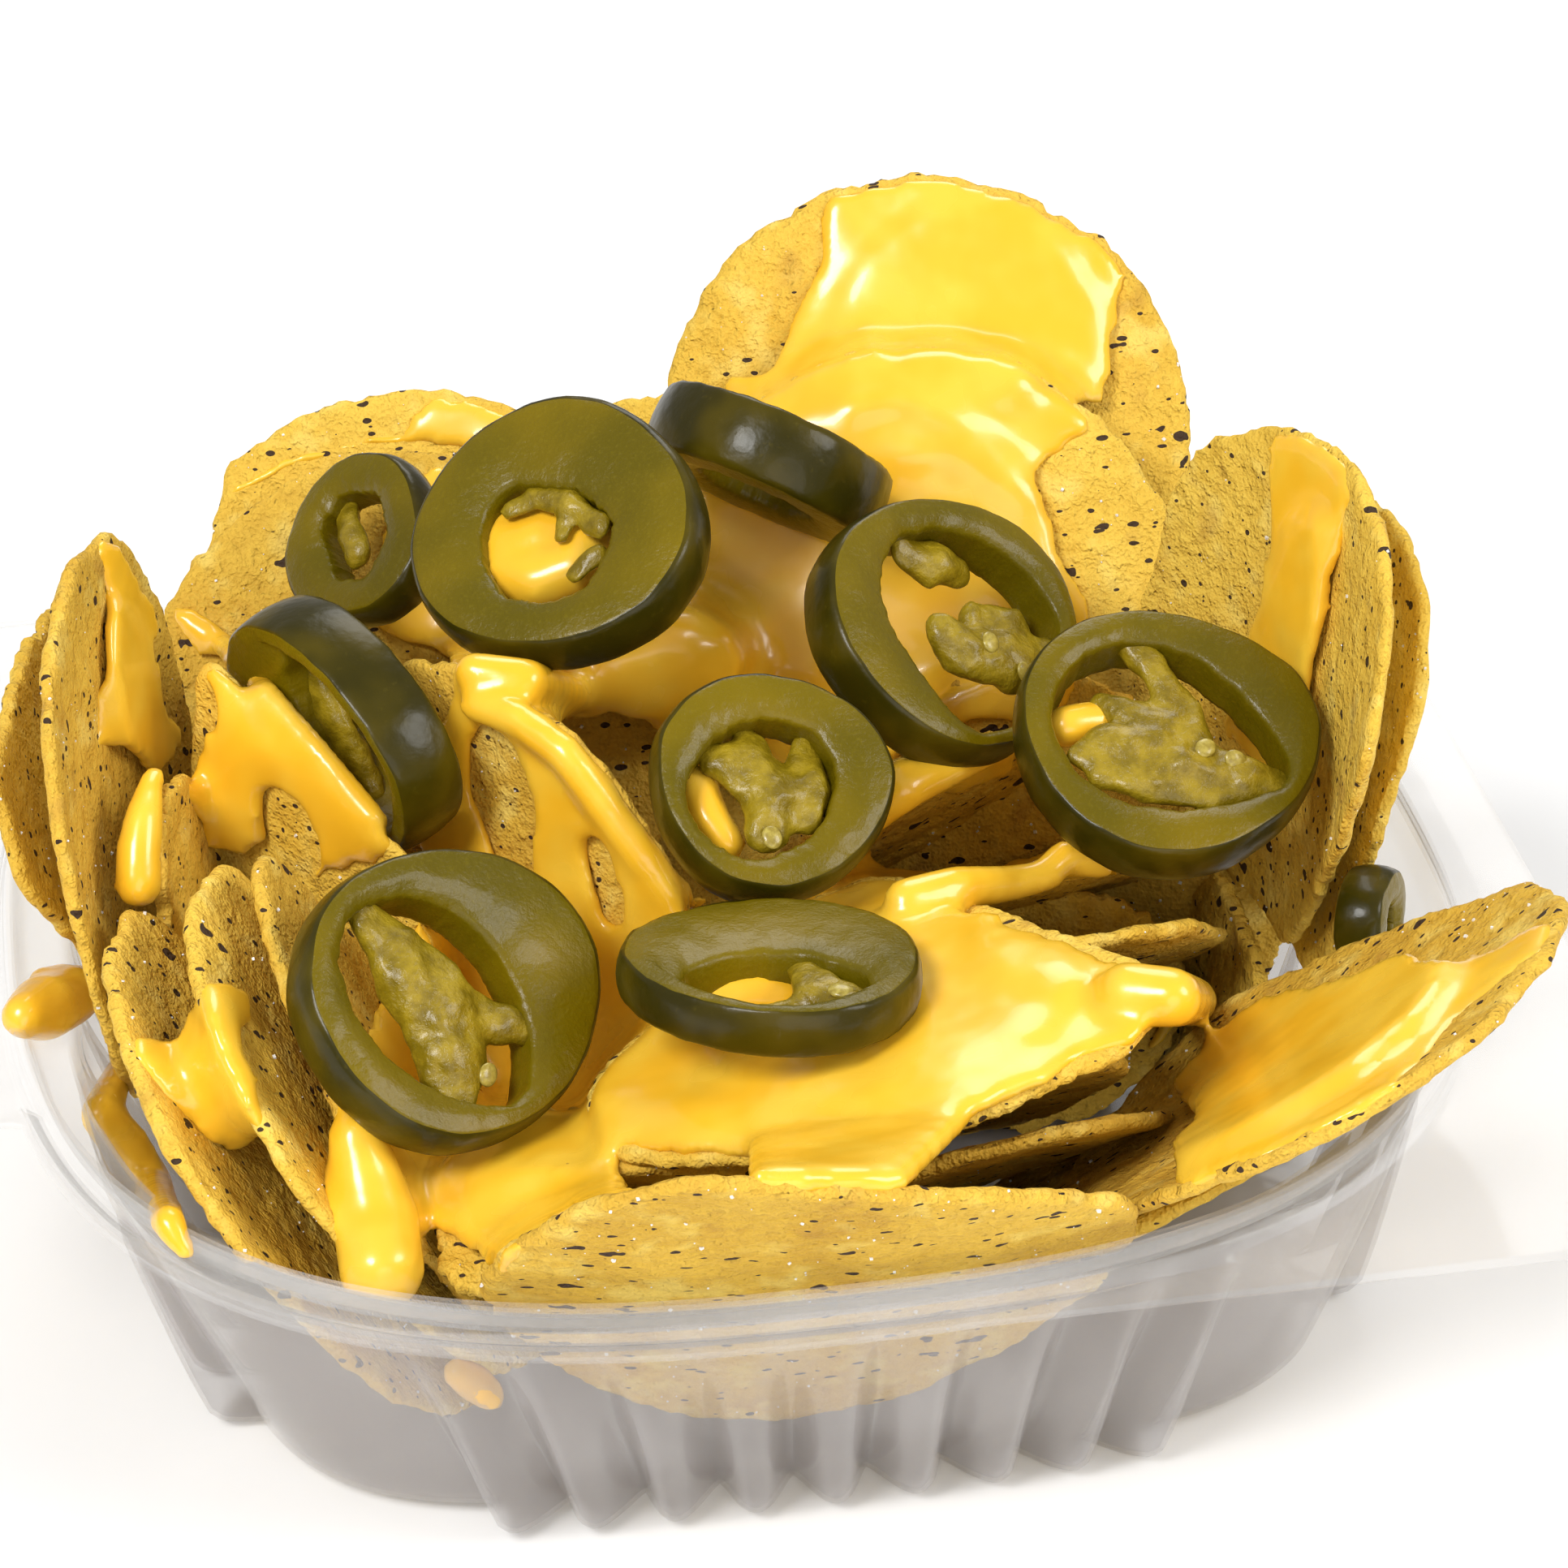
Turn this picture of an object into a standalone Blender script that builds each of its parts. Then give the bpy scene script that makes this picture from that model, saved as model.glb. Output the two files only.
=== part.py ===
"""Nachos in a clear plastic tray: round tortilla chips, warm cheese sauce and pickled jalapeno slices.

Metres, +Z up. The origin is on the table under the middle of the tray, -Y is the front.
"""

import math

import bmesh
import bpy
from mathutils import Matrix, Vector

MM = 0.001
MERGE = 0.00001

# Tray, in mm
TRAY_WALL = 0.6
BASE_HALF = (61.0, 54.5)
BASE_SHIFT = 2.5
BASE_SQUARENESS = 4.6
WALL_TOP = 38.0
WALL_TOP_HALF = (74.0, 71.0)
WALL_TOP_SQUARENESS = 3.3
RIM_HALF = (79.5, 75.0)
RIM_SQUARENESS = 2.6
FOOT_HEIGHT = 7.0
RIB_TOP = 33.0
RIM_HEIGHT = 44.0
BEAD_WIDTH = 1.8
FLANGE_HEIGHT = 39.0
FLANGE_HALF = (93.0, 77.5)
LIP_WIDTH = 1.0
LEFT_FLANGE_START = -22.0
RIB_PITCH = 8.0
RIB_DEPTH = 5.8
RIBS_ON_A_SIDE = 9
FOOT_RIB_SHARES = (0.9, 0.8)
TOP_RIB_SHARE = 0.3
CORNER_STEP = 6

# Tortilla chips, in mm
CHIP_RADIUS = 33.0
CHIP_THICKNESS = 1.8
CHIP_SIDES = 16
CHIP_MID_RING = 0.55

# Cheese sauce, in mm
SAUCE_SIDES = 14
SAUCE_MID_RING = 0.6
SAUCE_GAP = 0.4
SAUCE_MARGIN = 1.0
CURL_ALLOWANCE = 0.07
DOLLOP_SIDES = 12
DOLLOP_RINGS = 6

# Jalapeno slices, in mm
RING_SIDES = 16
SLICE_BEVEL = 1.0
SLICE_LOBES = 0.04
HOLE_EDGE = 0.8

PART = bpy.data.collections.new("nachos")


def clear_scene():
    for obj in list(bpy.data.objects):
        bpy.data.objects.remove(obj, do_unlink=True)
    bpy.context.scene.collection.children.link(PART)


def material(name, colour, roughness, alpha=1.0):
    mat = bpy.data.materials.new(name)
    mat.use_nodes = True
    mat.diffuse_color = (*colour, alpha)
    shader = mat.node_tree.nodes["Principled BSDF"]
    shader.inputs["Base Color"].default_value = (*colour, 1.0)
    shader.inputs["Roughness"].default_value = roughness
    shader.inputs["Alpha"].default_value = alpha
    return mat


def add_object(name, bm, mat, place=None, turn_faces_out=True):
    if turn_faces_out:
        bmesh.ops.recalc_face_normals(bm, faces=bm.faces)
    mesh = bpy.data.meshes.new(name)
    bm.to_mesh(mesh)
    bm.free()
    mesh.materials.append(mat)
    obj = bpy.data.objects.new(name, mesh)
    if place is not None:
        obj.matrix_world = place
    PART.objects.link(obj)
    return obj


def solidify(obj, thickness, offset):
    mod = obj.modifiers.new("Thickness", "SOLIDIFY")
    mod.thickness = thickness * MM
    mod.offset = offset
    return mod


def facing(centre, azimuth, elevation):
    """Placement of a flat piece whose face looks along an azimuth (0 is -Y, 90 is +X) and elevation."""
    a, e = math.radians(azimuth), math.radians(elevation)
    right = Vector((math.cos(a), math.sin(a), 0.0))
    normal = Vector((math.sin(a) * math.cos(e), -math.cos(a) * math.cos(e), math.sin(e)))
    up = normal.cross(right)
    turn = Matrix((right, up, normal)).transposed().to_4x4()
    return Matrix.Translation(Vector(centre) * MM) @ turn


def turned_disc(bm, radii, sides):
    """A flat disc with a ring of points at each radius, turned from a straight spoke."""
    spoke = [bm.verts.new((r, 0.0, 0.0)) for r in radii]
    edges = [bm.edges.new(pair) for pair in zip(spoke, spoke[1:])]
    bmesh.ops.spin(bm, geom=spoke + edges, axis=(0, 0, 1), cent=(0, 0, 0), steps=sides, angle=2 * math.pi)
    bmesh.ops.remove_doubles(bm, verts=bm.verts, dist=MERGE)


def reach(angle, radius, snaps):
    """How far a chip reaches in one direction; a snap is (direction, distance) of a straight broken edge."""
    for direction, distance in snaps:
        lean = math.cos(angle - math.radians(direction))
        if lean * radius > distance:
            radius = distance / lean
    return radius


def chip(name, centre, azimuth, elevation, curl, size, snaps, mat):
    """A round chip, curled by the given depths in mm across and along, with straight broken edges."""
    bm = bmesh.new()
    radius = CHIP_RADIUS * size
    turned_disc(bm, (0.0, CHIP_MID_RING * radius * MM, radius * MM), CHIP_SIDES)
    for vert in bm.verts:
        angle = math.atan2(vert.co.y, vert.co.x)
        shrink = reach(angle, radius, snaps) / radius
        x, y = shrink * vert.co.x / MM, shrink * vert.co.y / MM
        lift = -curl[0] * (x / CHIP_RADIUS) ** 2 - curl[1] * (y / CHIP_RADIUS) ** 2
        vert.co = Vector((x, y, lift)) * MM
    obj = add_object(name, bm, mat, facing(centre, azimuth, elevation))
    solidify(obj, CHIP_THICKNESS, 0.0)
    return obj


def coating(name, under, middle, halves, thick, mat):
    """Sauce lying on the face of a chip: an oval about the given middle, following the curl of the chip."""
    centre, azimuth, elevation, curl = under
    bm = bmesh.new()
    turned_disc(bm, (0.0, SAUCE_MID_RING, 1.0), SAUCE_SIDES)
    stand_off = CHIP_THICKNESS / 2 + SAUCE_GAP + CURL_ALLOWANCE * max(abs(c) for c in curl)
    for vert in bm.verts:
        x, y = middle[0] + halves[0] * vert.co.x, middle[1] + halves[1] * vert.co.y
        inside = min(1.0, (CHIP_RADIUS - SAUCE_MARGIN) / max(math.hypot(x, y), SAUCE_GAP))
        x, y = inside * x, inside * y
        lift = -curl[0] * (x / CHIP_RADIUS) ** 2 - curl[1] * (y / CHIP_RADIUS) ** 2
        vert.co = Vector((x, y, lift + stand_off + thick / 2)) * MM
    obj = add_object(name, bm, mat, facing(centre, azimuth, elevation))
    solidify(obj, thick, 0.0)
    return obj


def dollop(name, centre, halves, mat):
    """A rounded mass of sauce between the chips."""
    bm = bmesh.new()
    bmesh.ops.create_uvsphere(bm, u_segments=DOLLOP_SIDES, v_segments=DOLLOP_RINGS, radius=1.0)
    for vert in bm.verts:
        vert.co = Vector(c + h * v for c, h, v in zip(centre, halves, vert.co)) * MM
    return add_object(name, bm, mat)


def jalapeno(name, centre, azimuth, elevation, radii, hole, thick, mat):
    """A slice of pepper: a ring, slightly three-cornered, with a hole of a given share of its radius."""
    bm = bmesh.new()
    outer, inner, half = radii[0], hole * radii[0], thick / 2
    front = ((outer, 0.0), (outer - SLICE_BEVEL, half), (inner, HOLE_EDGE * half))
    profile = front + tuple((r, -z) for r, z in reversed(front[1:]))
    loop = [bm.verts.new((r * MM, 0.0, z * MM)) for r, z in profile]
    edges = [bm.edges.new((a, b)) for a, b in zip(loop, loop[1:] + loop[:1])]
    bmesh.ops.spin(bm, geom=loop + edges, axis=(0, 0, 1), cent=(0, 0, 0), steps=RING_SIDES, angle=2 * math.pi)
    bmesh.ops.remove_doubles(bm, verts=bm.verts, dist=MERGE)
    for vert in bm.verts:
        angle = math.atan2(vert.co.y, vert.co.x)
        swell = 1.0 + SLICE_LOBES * math.cos(3 * angle)
        vert.co.x *= swell
        vert.co.y *= swell * radii[1] / radii[0]
    return add_object(name, bm, mat, facing(centre, azimuth, elevation))


def squircle(angle, half, power):
    """A point on a rounded square outline; a higher power gives squarer corners."""
    c, s = math.cos(angle), math.sin(angle)
    size = (abs(c / half[0]) ** power + abs(s / half[1]) ** power) ** (-1 / power)
    return size * c, size * s


def tray_angles():
    """Angles round the tray: two for each rib on the four sides, a few round each corner."""
    angles = []
    for side in range(4):
        across = BASE_HALF[1 - side % 2]
        middle = side * math.pi / 2
        places = [(i - RIBS_ON_A_SIDE) * RIB_PITCH / 2 for i in range(2 * RIBS_ON_A_SIDE + 1)]
        reach = BASE_HALF[side % 2]
        angles += [(middle + math.atan2(p, reach), i % 2) for i, p in enumerate(places)]
        corner = middle + math.pi / 4
        angles += [(corner + math.radians(step), 0) for step in (-CORNER_STEP, 0, CORNER_STEP)]
    return sorted(angles)


def ring_points(half, power, height, depth, shift=0.0):
    points = []
    for angle, rib in tray_angles():
        x, y = squircle(angle, half, power)
        out = 1.0 + (depth if rib else 0.0) / math.hypot(x, y)
        points.append((x * out + shift, y * out, height))
    return points


def flange_points(height):
    points = []
    for angle, _ in tray_angles():
        x, y = squircle(angle, RIM_HALF, RIM_SQUARENESS)
        left_front = x < 0 and y < LEFT_FLANGE_START
        narrow = 1.0 + (BEAD_WIDTH + LIP_WIDTH) / math.hypot(x, y)
        wide = 1.0 / max(abs(x) / FLANGE_HALF[0], abs(y) / FLANGE_HALF[1])
        reach = narrow if left_front else max(narrow, wide)
        points.append((x * reach, y * reach, height))
    return points


def wall_ring(height, depth):
    """A ring of the sloping wall, between the base outline and the outline under the rim."""
    t = height / WALL_TOP
    half = tuple(b + t * (top - b) for b, top in zip(BASE_HALF, WALL_TOP_HALF))
    power = BASE_SQUARENESS + t * (WALL_TOP_SQUARENESS - BASE_SQUARENESS)
    return ring_points(half, power, height, depth, BASE_SHIFT * (1 - t))


def tray(mat):
    bead = tuple(h + BEAD_WIDTH for h in RIM_HALF)
    rings = [
        wall_ring(0.0, RIB_DEPTH * FOOT_RIB_SHARES[0]),
        wall_ring(FOOT_HEIGHT, RIB_DEPTH * FOOT_RIB_SHARES[1]),
        wall_ring(RIB_TOP, RIB_DEPTH * TOP_RIB_SHARE),
        wall_ring(WALL_TOP, 0.0),
        ring_points(RIM_HALF, RIM_SQUARENESS, RIM_HEIGHT, 0.0),
        ring_points(bead, RIM_SQUARENESS, RIM_HEIGHT, 0.0),
        ring_points(bead, RIM_SQUARENESS, FLANGE_HEIGHT, 0.0),
        flange_points(FLANGE_HEIGHT),
    ]
    bm = bmesh.new()
    loops = [[bm.verts.new(Vector(p) * MM) for p in ring] for ring in rings]
    bm.faces.new(reversed(loops[0]))
    for lower, upper in zip(loops, loops[1:]):
        for i in range(len(lower)):
            j = (i + 1) % len(lower)
            bm.faces.new((lower[i], lower[j], upper[j], upper[i]))
    obj = add_object("tray", bm, mat, turn_faces_out=False)
    solidify(obj, TRAY_WALL, -1.0)
    return obj


def build():
    clear_scene()
    plastic = material("clear_plastic", (0.78, 0.76, 0.72), 0.15, 0.35)
    corn = material("tortilla_chip", (0.75, 0.53, 0.12), 0.7)
    cheese = material("cheese_sauce", (0.95, 0.58, 0.04), 0.2)
    green = material("jalapeno_flesh", (0.10, 0.13, 0.01), 0.3)
    tray(plastic)

    chips = (
        ("chip_back_top", (36, 62, 62), -10, 33, (1, 1), 1, ()),
        ("chip_back_front", (30, 38, 51), -12, 33, (2, 1), 1, ((270, 20), (300, 22), (330, 28))),
        ("chip_back_middle", (0, 45, 43), -10, 33, (1, 1), 1, ()),
        ("chip_back_left", (-29, 54, 42), -10, 33, (1, 1), 1, ((215, 24), (180, 26))),
        ("chip_back_left_front", (-31, 40, 41), -10, 33, (1, 1), 1, ((210, 30),)),
        ("chip_right_curl", (67, 3, 55), -80, 8, (-10, 0), 1, ((180, 26), (270, 25), (330, 22))),
        ("chip_right_outer", (71.5, 7, 45), -82, 12, (-6, 0), 1, ((180, 18), (270, 20), (0, 21))),
        ("chip_right_low", (54, -50, 45), -128, 49, (-4, 0), 1, ((176, 23), (345, 29))),
        ("chip_front", (-2, -68.5, 38), -3, -33, (3, 2), 1, ((72, 24.8),)),
        ("chip_front_right", (39, -39, 22.5), 38, -52, (3, 2), 0.9, ((150, 27),)),
        ("chip_left_outer", (-68.8, 20, 42), 76, 17, (-2, 0), 1, ((0, 20), (90, 25), (210, 18), (270, 28), (330, 22))),
        ("chip_left_curl", (-65, 15, 48), 72, 8, (-4, 0), 1, ((0, 18), (240, 31))),
        ("chip_left_edge", (-56, 16, 40), -52, 0, (2, 0), 1, ((180, 3), (66, 26))),
        ("chip_left_stand", (-60, 2, 44), 76, 6, (-1, 0), 0.45, ((0, 10), (180, 10))),
        ("chip_left_front", (-50, -24, 28), 85, 36, (-2, 0), 1, ((0, 14),)),
        ("chip_left_front_inner", (-42, -22, 32), 82, 34, (-2, 0), 1, ((0, 12),)),
        ("chip_left_front_curl", (-37, -18, 34), 80, 30, (-2, 0), 1, ((0, 6), (135, 28))),
        ("chip_front_left", (-27, -50, 36), -20, 72, (1, 0), 0.42, ((195, 11), (285, 9))),
        ("chip_centre_flat", (11, -43, 51), -121, 76, (1, 1), 1, ((10, 22.5), (52, 22.5), (153, 21.4), (255, 27))),
        ("chip_centre_under", (26, -26, 25), 5, -47, (1, 1), 1, ((0, 10),)),
        ("chip_centre_middle", (25, -7, 25), 10, -46, (1, 1), 1, ()),
        ("chip_centre_front", (27, 9, 24.5), 15, -48, (1, 1), 1, ()),
        ("chip_centre_back", (11, 13, 29.5), 25, -35, (1, 1), 1, ((180, 9),)),
        ("chip_centre_left", (-28, 3, 36), -50, 5, (2, 0), 1, ((180, 14),)),
        ("chip_right_inner", (58.5, -2, 24), 90, -12, (1, 0), 0.7, ((90, 8), (30, 11), (195, 13))),
        ("chip_behind_left", (-30, 59, 31), 178, -26, (1, 0), 0.95, ((0, 16),)),
        ("chip_behind_right", (33, 61, 31), 170, -26, (1, 0), 0.95, ((165, 15), (180, 16))),
        ("chip_behind_corner", (51, 45, 29), 135, -24, (1, 0), 0.8, ((0, 9), (180, 14), (90, 8))),
    )
    for name, centre, azimuth, elevation, curl, size, snaps in chips:
        chip(name, centre, azimuth, elevation, curl, size, snaps, corn)

    placed = {row[0]: row[1:5] for row in chips}
    coatings = (
        ("cheese_back_top", "chip_back_top", (5, 4), (19, 26), 1.5),
        ("cheese_back_front", "chip_back_front", (-6, 4), (24, 24), 1.5),
        ("cheese_back_middle", "chip_back_middle", (-13, -2), (9, 15), 1.5),
        ("cheese_right_curl", "chip_right_curl", (0, 4), (7, 22), 1.2),
        ("cheese_right_low", "chip_right_low", (2, 0), (24, 22), 2.0),
        ("cheese_centre_flat", "chip_centre_flat", (-2, 0), (19, 20), 1.2),
        ("cheese_left_curl", "chip_left_curl", (3, 4), (7, 22), 1.3),
        ("cheese_left_front", "chip_left_front", (-4, 16), (9, 10), 3.0),
        ("cheese_front_left", "chip_front_left", (0, 0), (9, 8), 1.5),
    )
    for name, under, middle, halves, thick in coatings:
        coating(name, placed[under], middle, halves, thick, cheese)

    dollops = (
        ("cheese_pool_back", (-4, 30, 52), (12, 6, 9)),
        ("cheese_pool_middle", (-6, 4, 46), (9, 12, 9)),
        ("cheese_pool_left", (-47, 30, 38), (4, 6, 8)),
    )
    for name, centre, halves in dollops:
        dollop(name, centre, halves, cheese)

    slices = (
        ("jalapeno_1", (-15, 20, 77), -48, 56, (17.5, 16), 0.2, 6.5),
        ("jalapeno_2", (11.8, 37.2, 74.4), 135, 46.5, (14.5, 14), 0.5, 8.5),
        ("jalapeno_3", (27.5, 11, 65.5), 43, 51, (17.5, 15.5), 0.5, 6.5),
        ("jalapeno_4", (48, -11, 62), 11, 65, (17, 16), 0.5, 6),
        ("jalapeno_5", (3, -14, 63), 11, 55, (13, 12.5), 0.5, 6),
        ("jalapeno_6", (-1.2, -41.2, 57.7), 165, 79, (15.5, 14.5), 0.55, 5),
        ("jalapeno_7", (-34.6, -33.8, 53.8), 40, 49, (18, 15.5), 0.5, 6),
        ("jalapeno_8", (-41.5, 10.5, 60), -59, -7, (17, 14), 0.52, 8),
        ("jalapeno_9", (-35.6, 39.6, 67), -63, 41, (11, 10), 0.55, 5),
        ("jalapeno_10", (69.9, -21.4, 42.8), 60, 8, (6.5, 5.2), 0.3, 5),
    )
    for name, centre, azimuth, elevation, radii, hole, thick in slices:
        jalapeno(name, centre, azimuth, elevation, radii, hole, thick, green)


build()
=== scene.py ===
"""Nachos in a clear ribbed tray: the looks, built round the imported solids.

Lengths are in millimetres unless a name says otherwise; MM turns them into scene metres.
"""

import math
import random
from collections import namedtuple

import bpy
import numpy as np
from mathutils import Matrix, Vector, noise
from mathutils.bvhtree import BVHTree


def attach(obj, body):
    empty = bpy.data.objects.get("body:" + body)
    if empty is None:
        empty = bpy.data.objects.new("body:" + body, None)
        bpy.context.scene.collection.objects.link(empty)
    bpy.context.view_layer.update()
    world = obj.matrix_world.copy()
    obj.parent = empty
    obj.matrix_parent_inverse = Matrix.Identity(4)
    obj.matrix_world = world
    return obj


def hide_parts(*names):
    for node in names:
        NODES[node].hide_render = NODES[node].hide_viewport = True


MM = 0.001
MERGE = 1e-5  # vertices this near each other, in metres, are merged
FINE_MERGE = 1e-7
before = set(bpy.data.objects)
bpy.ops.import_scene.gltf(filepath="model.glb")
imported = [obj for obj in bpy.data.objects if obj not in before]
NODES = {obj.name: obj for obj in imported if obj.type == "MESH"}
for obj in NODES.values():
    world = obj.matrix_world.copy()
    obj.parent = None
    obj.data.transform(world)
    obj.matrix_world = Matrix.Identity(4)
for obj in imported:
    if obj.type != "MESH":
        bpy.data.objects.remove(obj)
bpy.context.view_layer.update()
PEPPERS = sorted(name for name in NODES if name.startswith("jalapeno"))
CHIPS = sorted(name for name in NODES if name.startswith("chip"))
SAUCES = sorted(name for name in NODES if name.startswith("cheese"))

# Camera
CAMERA_AZIMUTH = -10.0
CAMERA_ELEVATION = 33.0
CAMERA_DISTANCE = 500.0
CAMERA_TARGET = (9.5, 13.6, 45.0)
CAMERA_LENS = 98.76
SENSOR = 36.0

# Tray
TRAY_WALL = 0.5
BASE_HALF = (61.0, 54.5)
BASE_SHIFT = 2.5
BASE_SQUARENESS = 4.6
WALL_TOP = 38.0
WALL_TOP_HALF = (74.0, 71.0)
WALL_TOP_SQUARENESS = 3.3
RIM_HALF = (79.5, 75.0)
RIM_SQUARENESS = 2.6
RIM_HEIGHT = 44.0
BEAD_WIDTH = 1.8
FLANGE_HEIGHT = 39.0
FLANGE_HALF = (93.0, 77.5)
LIP_WIDTH = 1.0
LEFT_FLANGE_START = -22.0
RIB_PITCH = 8.0
RIB_DEPTH = 5.8
RIBS_ON_A_SIDE = 9
# the depth of the ribs, as a share of RIB_DEPTH, at these heights
RIB_HEIGHTS = (0, 7, 31, 36)
RIB_SHARES = (0.95, 0.85, 0.32, 0.0)
TRAY_STEPS = 720
# (height, mm in from the wall), heights of the wall, (mm out from the rim, height), (share of the flange, height)
FOOT_PROFILE = ((0.25, 2.2), (0.55, 1.0), (1.3, 0.35), (2.6, 0.0))
WALL_HEIGHTS = (5, 9, 14, 19, 24, 29, 33, 36, WALL_TOP - 0.6)
RIM_PROFILE = (
    (-4.6, WALL_TOP + 0.3), (-1.6, WALL_TOP + 1.0), (-0.7, WALL_TOP + 2.0), (-0.3, RIM_HEIGHT - 1.2),
    (0.1, RIM_HEIGHT - 0.3), (0.8, RIM_HEIGHT), (1.5, RIM_HEIGHT - 0.3), (BEAD_WIDTH, RIM_HEIGHT - 1.2),
    (BEAD_WIDTH, RIM_HEIGHT - 2.4), (BEAD_WIDTH + 0.5, RIM_HEIGHT - 3.0),
    (BEAD_WIDTH + 0.5, FLANGE_HEIGHT + 0.4),
)
FLANGE_PROFILE = (
    (0.35, FLANGE_HEIGHT), (0.7, FLANGE_HEIGHT), (0.96, FLANGE_HEIGHT), (1.0, FLANGE_HEIGHT - 0.8),
)

# Chips
CHIP_THICKNESS = 1.8
CHIP_RADIUS = 33.0
CHIP_STEPS = 220
CHIP_ROWS = 16
CHIP_OVERSIZE = 1.012
# (height, size, seed, octaves) of each wave along the edge
CHIP_EDGE_WAVES = ((0.6, 9, 0, 3), (0.45, 2.4, 3, 3), (0.3, 1.3, 29, 2))
# (depth, size, seed, least wave that cuts) of the nicks in the edge
CHIP_NICKS = (1.8, 6, 7, 0.4)
# (height, size, seed, octaves) of the waves over its faces
CHIP_WARP = (0.7, 26, 11, 1)
CHIP_BUBBLES = ((0.336, 5.5, 13, 3), (0.176, 1.9, 17, 2))
# (height, size, seed, least wave that rises) of the blisters
CHIP_BLISTERS = (0.9, 8, 19, 0.42)
CHIP_SIDES_APART = 40
# how far out each row of the edge lies, as a share of the radius, and its level between the faces
CHIP_EDGE = ((0.985, 0.85), (1.0, 0.3), (1.0, -0.3), (0.985, -0.85))
FRONT_CHIP_LEAN = 6.0
# (middle, azimuth, elevation, radius) of the chips that show only deep in the gaps of the heap
DEEP_CHIPS = {
    "chip_deep_front": ((12, -37, 24.2), 12, -47, 32),
    "chip_deep_right": ((56, 10, 21), -10, 8, 13),
    "chip_deep_low": ((38, 0, 18.5), 0, 0, 17),
    "chip_deep_middle": ((40, 20, 34), -5, 12, 18),
    "chip_deep_left": ((-14, -36, 26), -10, -45, 25),
}

# Sauce: areas, ridges and drips are drawn as the camera sees them, in mm right of and above its target
EMPTY = 0.0
SAUCE_STEP = 0.8
SAUCE_ACROSS = (-92.0, 93.0)
SAUCE_UP = (-76.0, 74.0)
SAUCE_JUMP = 7.0
JOINED_JUMP = 40.0
SAUCE_SKIN = 2.2
SAUCE_VOXEL = 0.82
SAUCE_SETTLING = 60
SAUCE_PULL = 0.10
SAUCE_LEAST = 0.6  # the share of its depth that settling leaves everywhere
SAUCE_EDGE = 1.3
SAUCE_GAP = 2.2  # between the sauce and a slice that lies over it
# (height, size, seed) of the waves of its outline and of its depth
SAUCE_WAVES = ((0.8, 7, 3), (0.8, 7, 4))
SAUCE_LUMPS = (0.35, 9, 8)
HOLE_EDGE = 1.2
FAR_AWAY = 1e9
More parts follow.
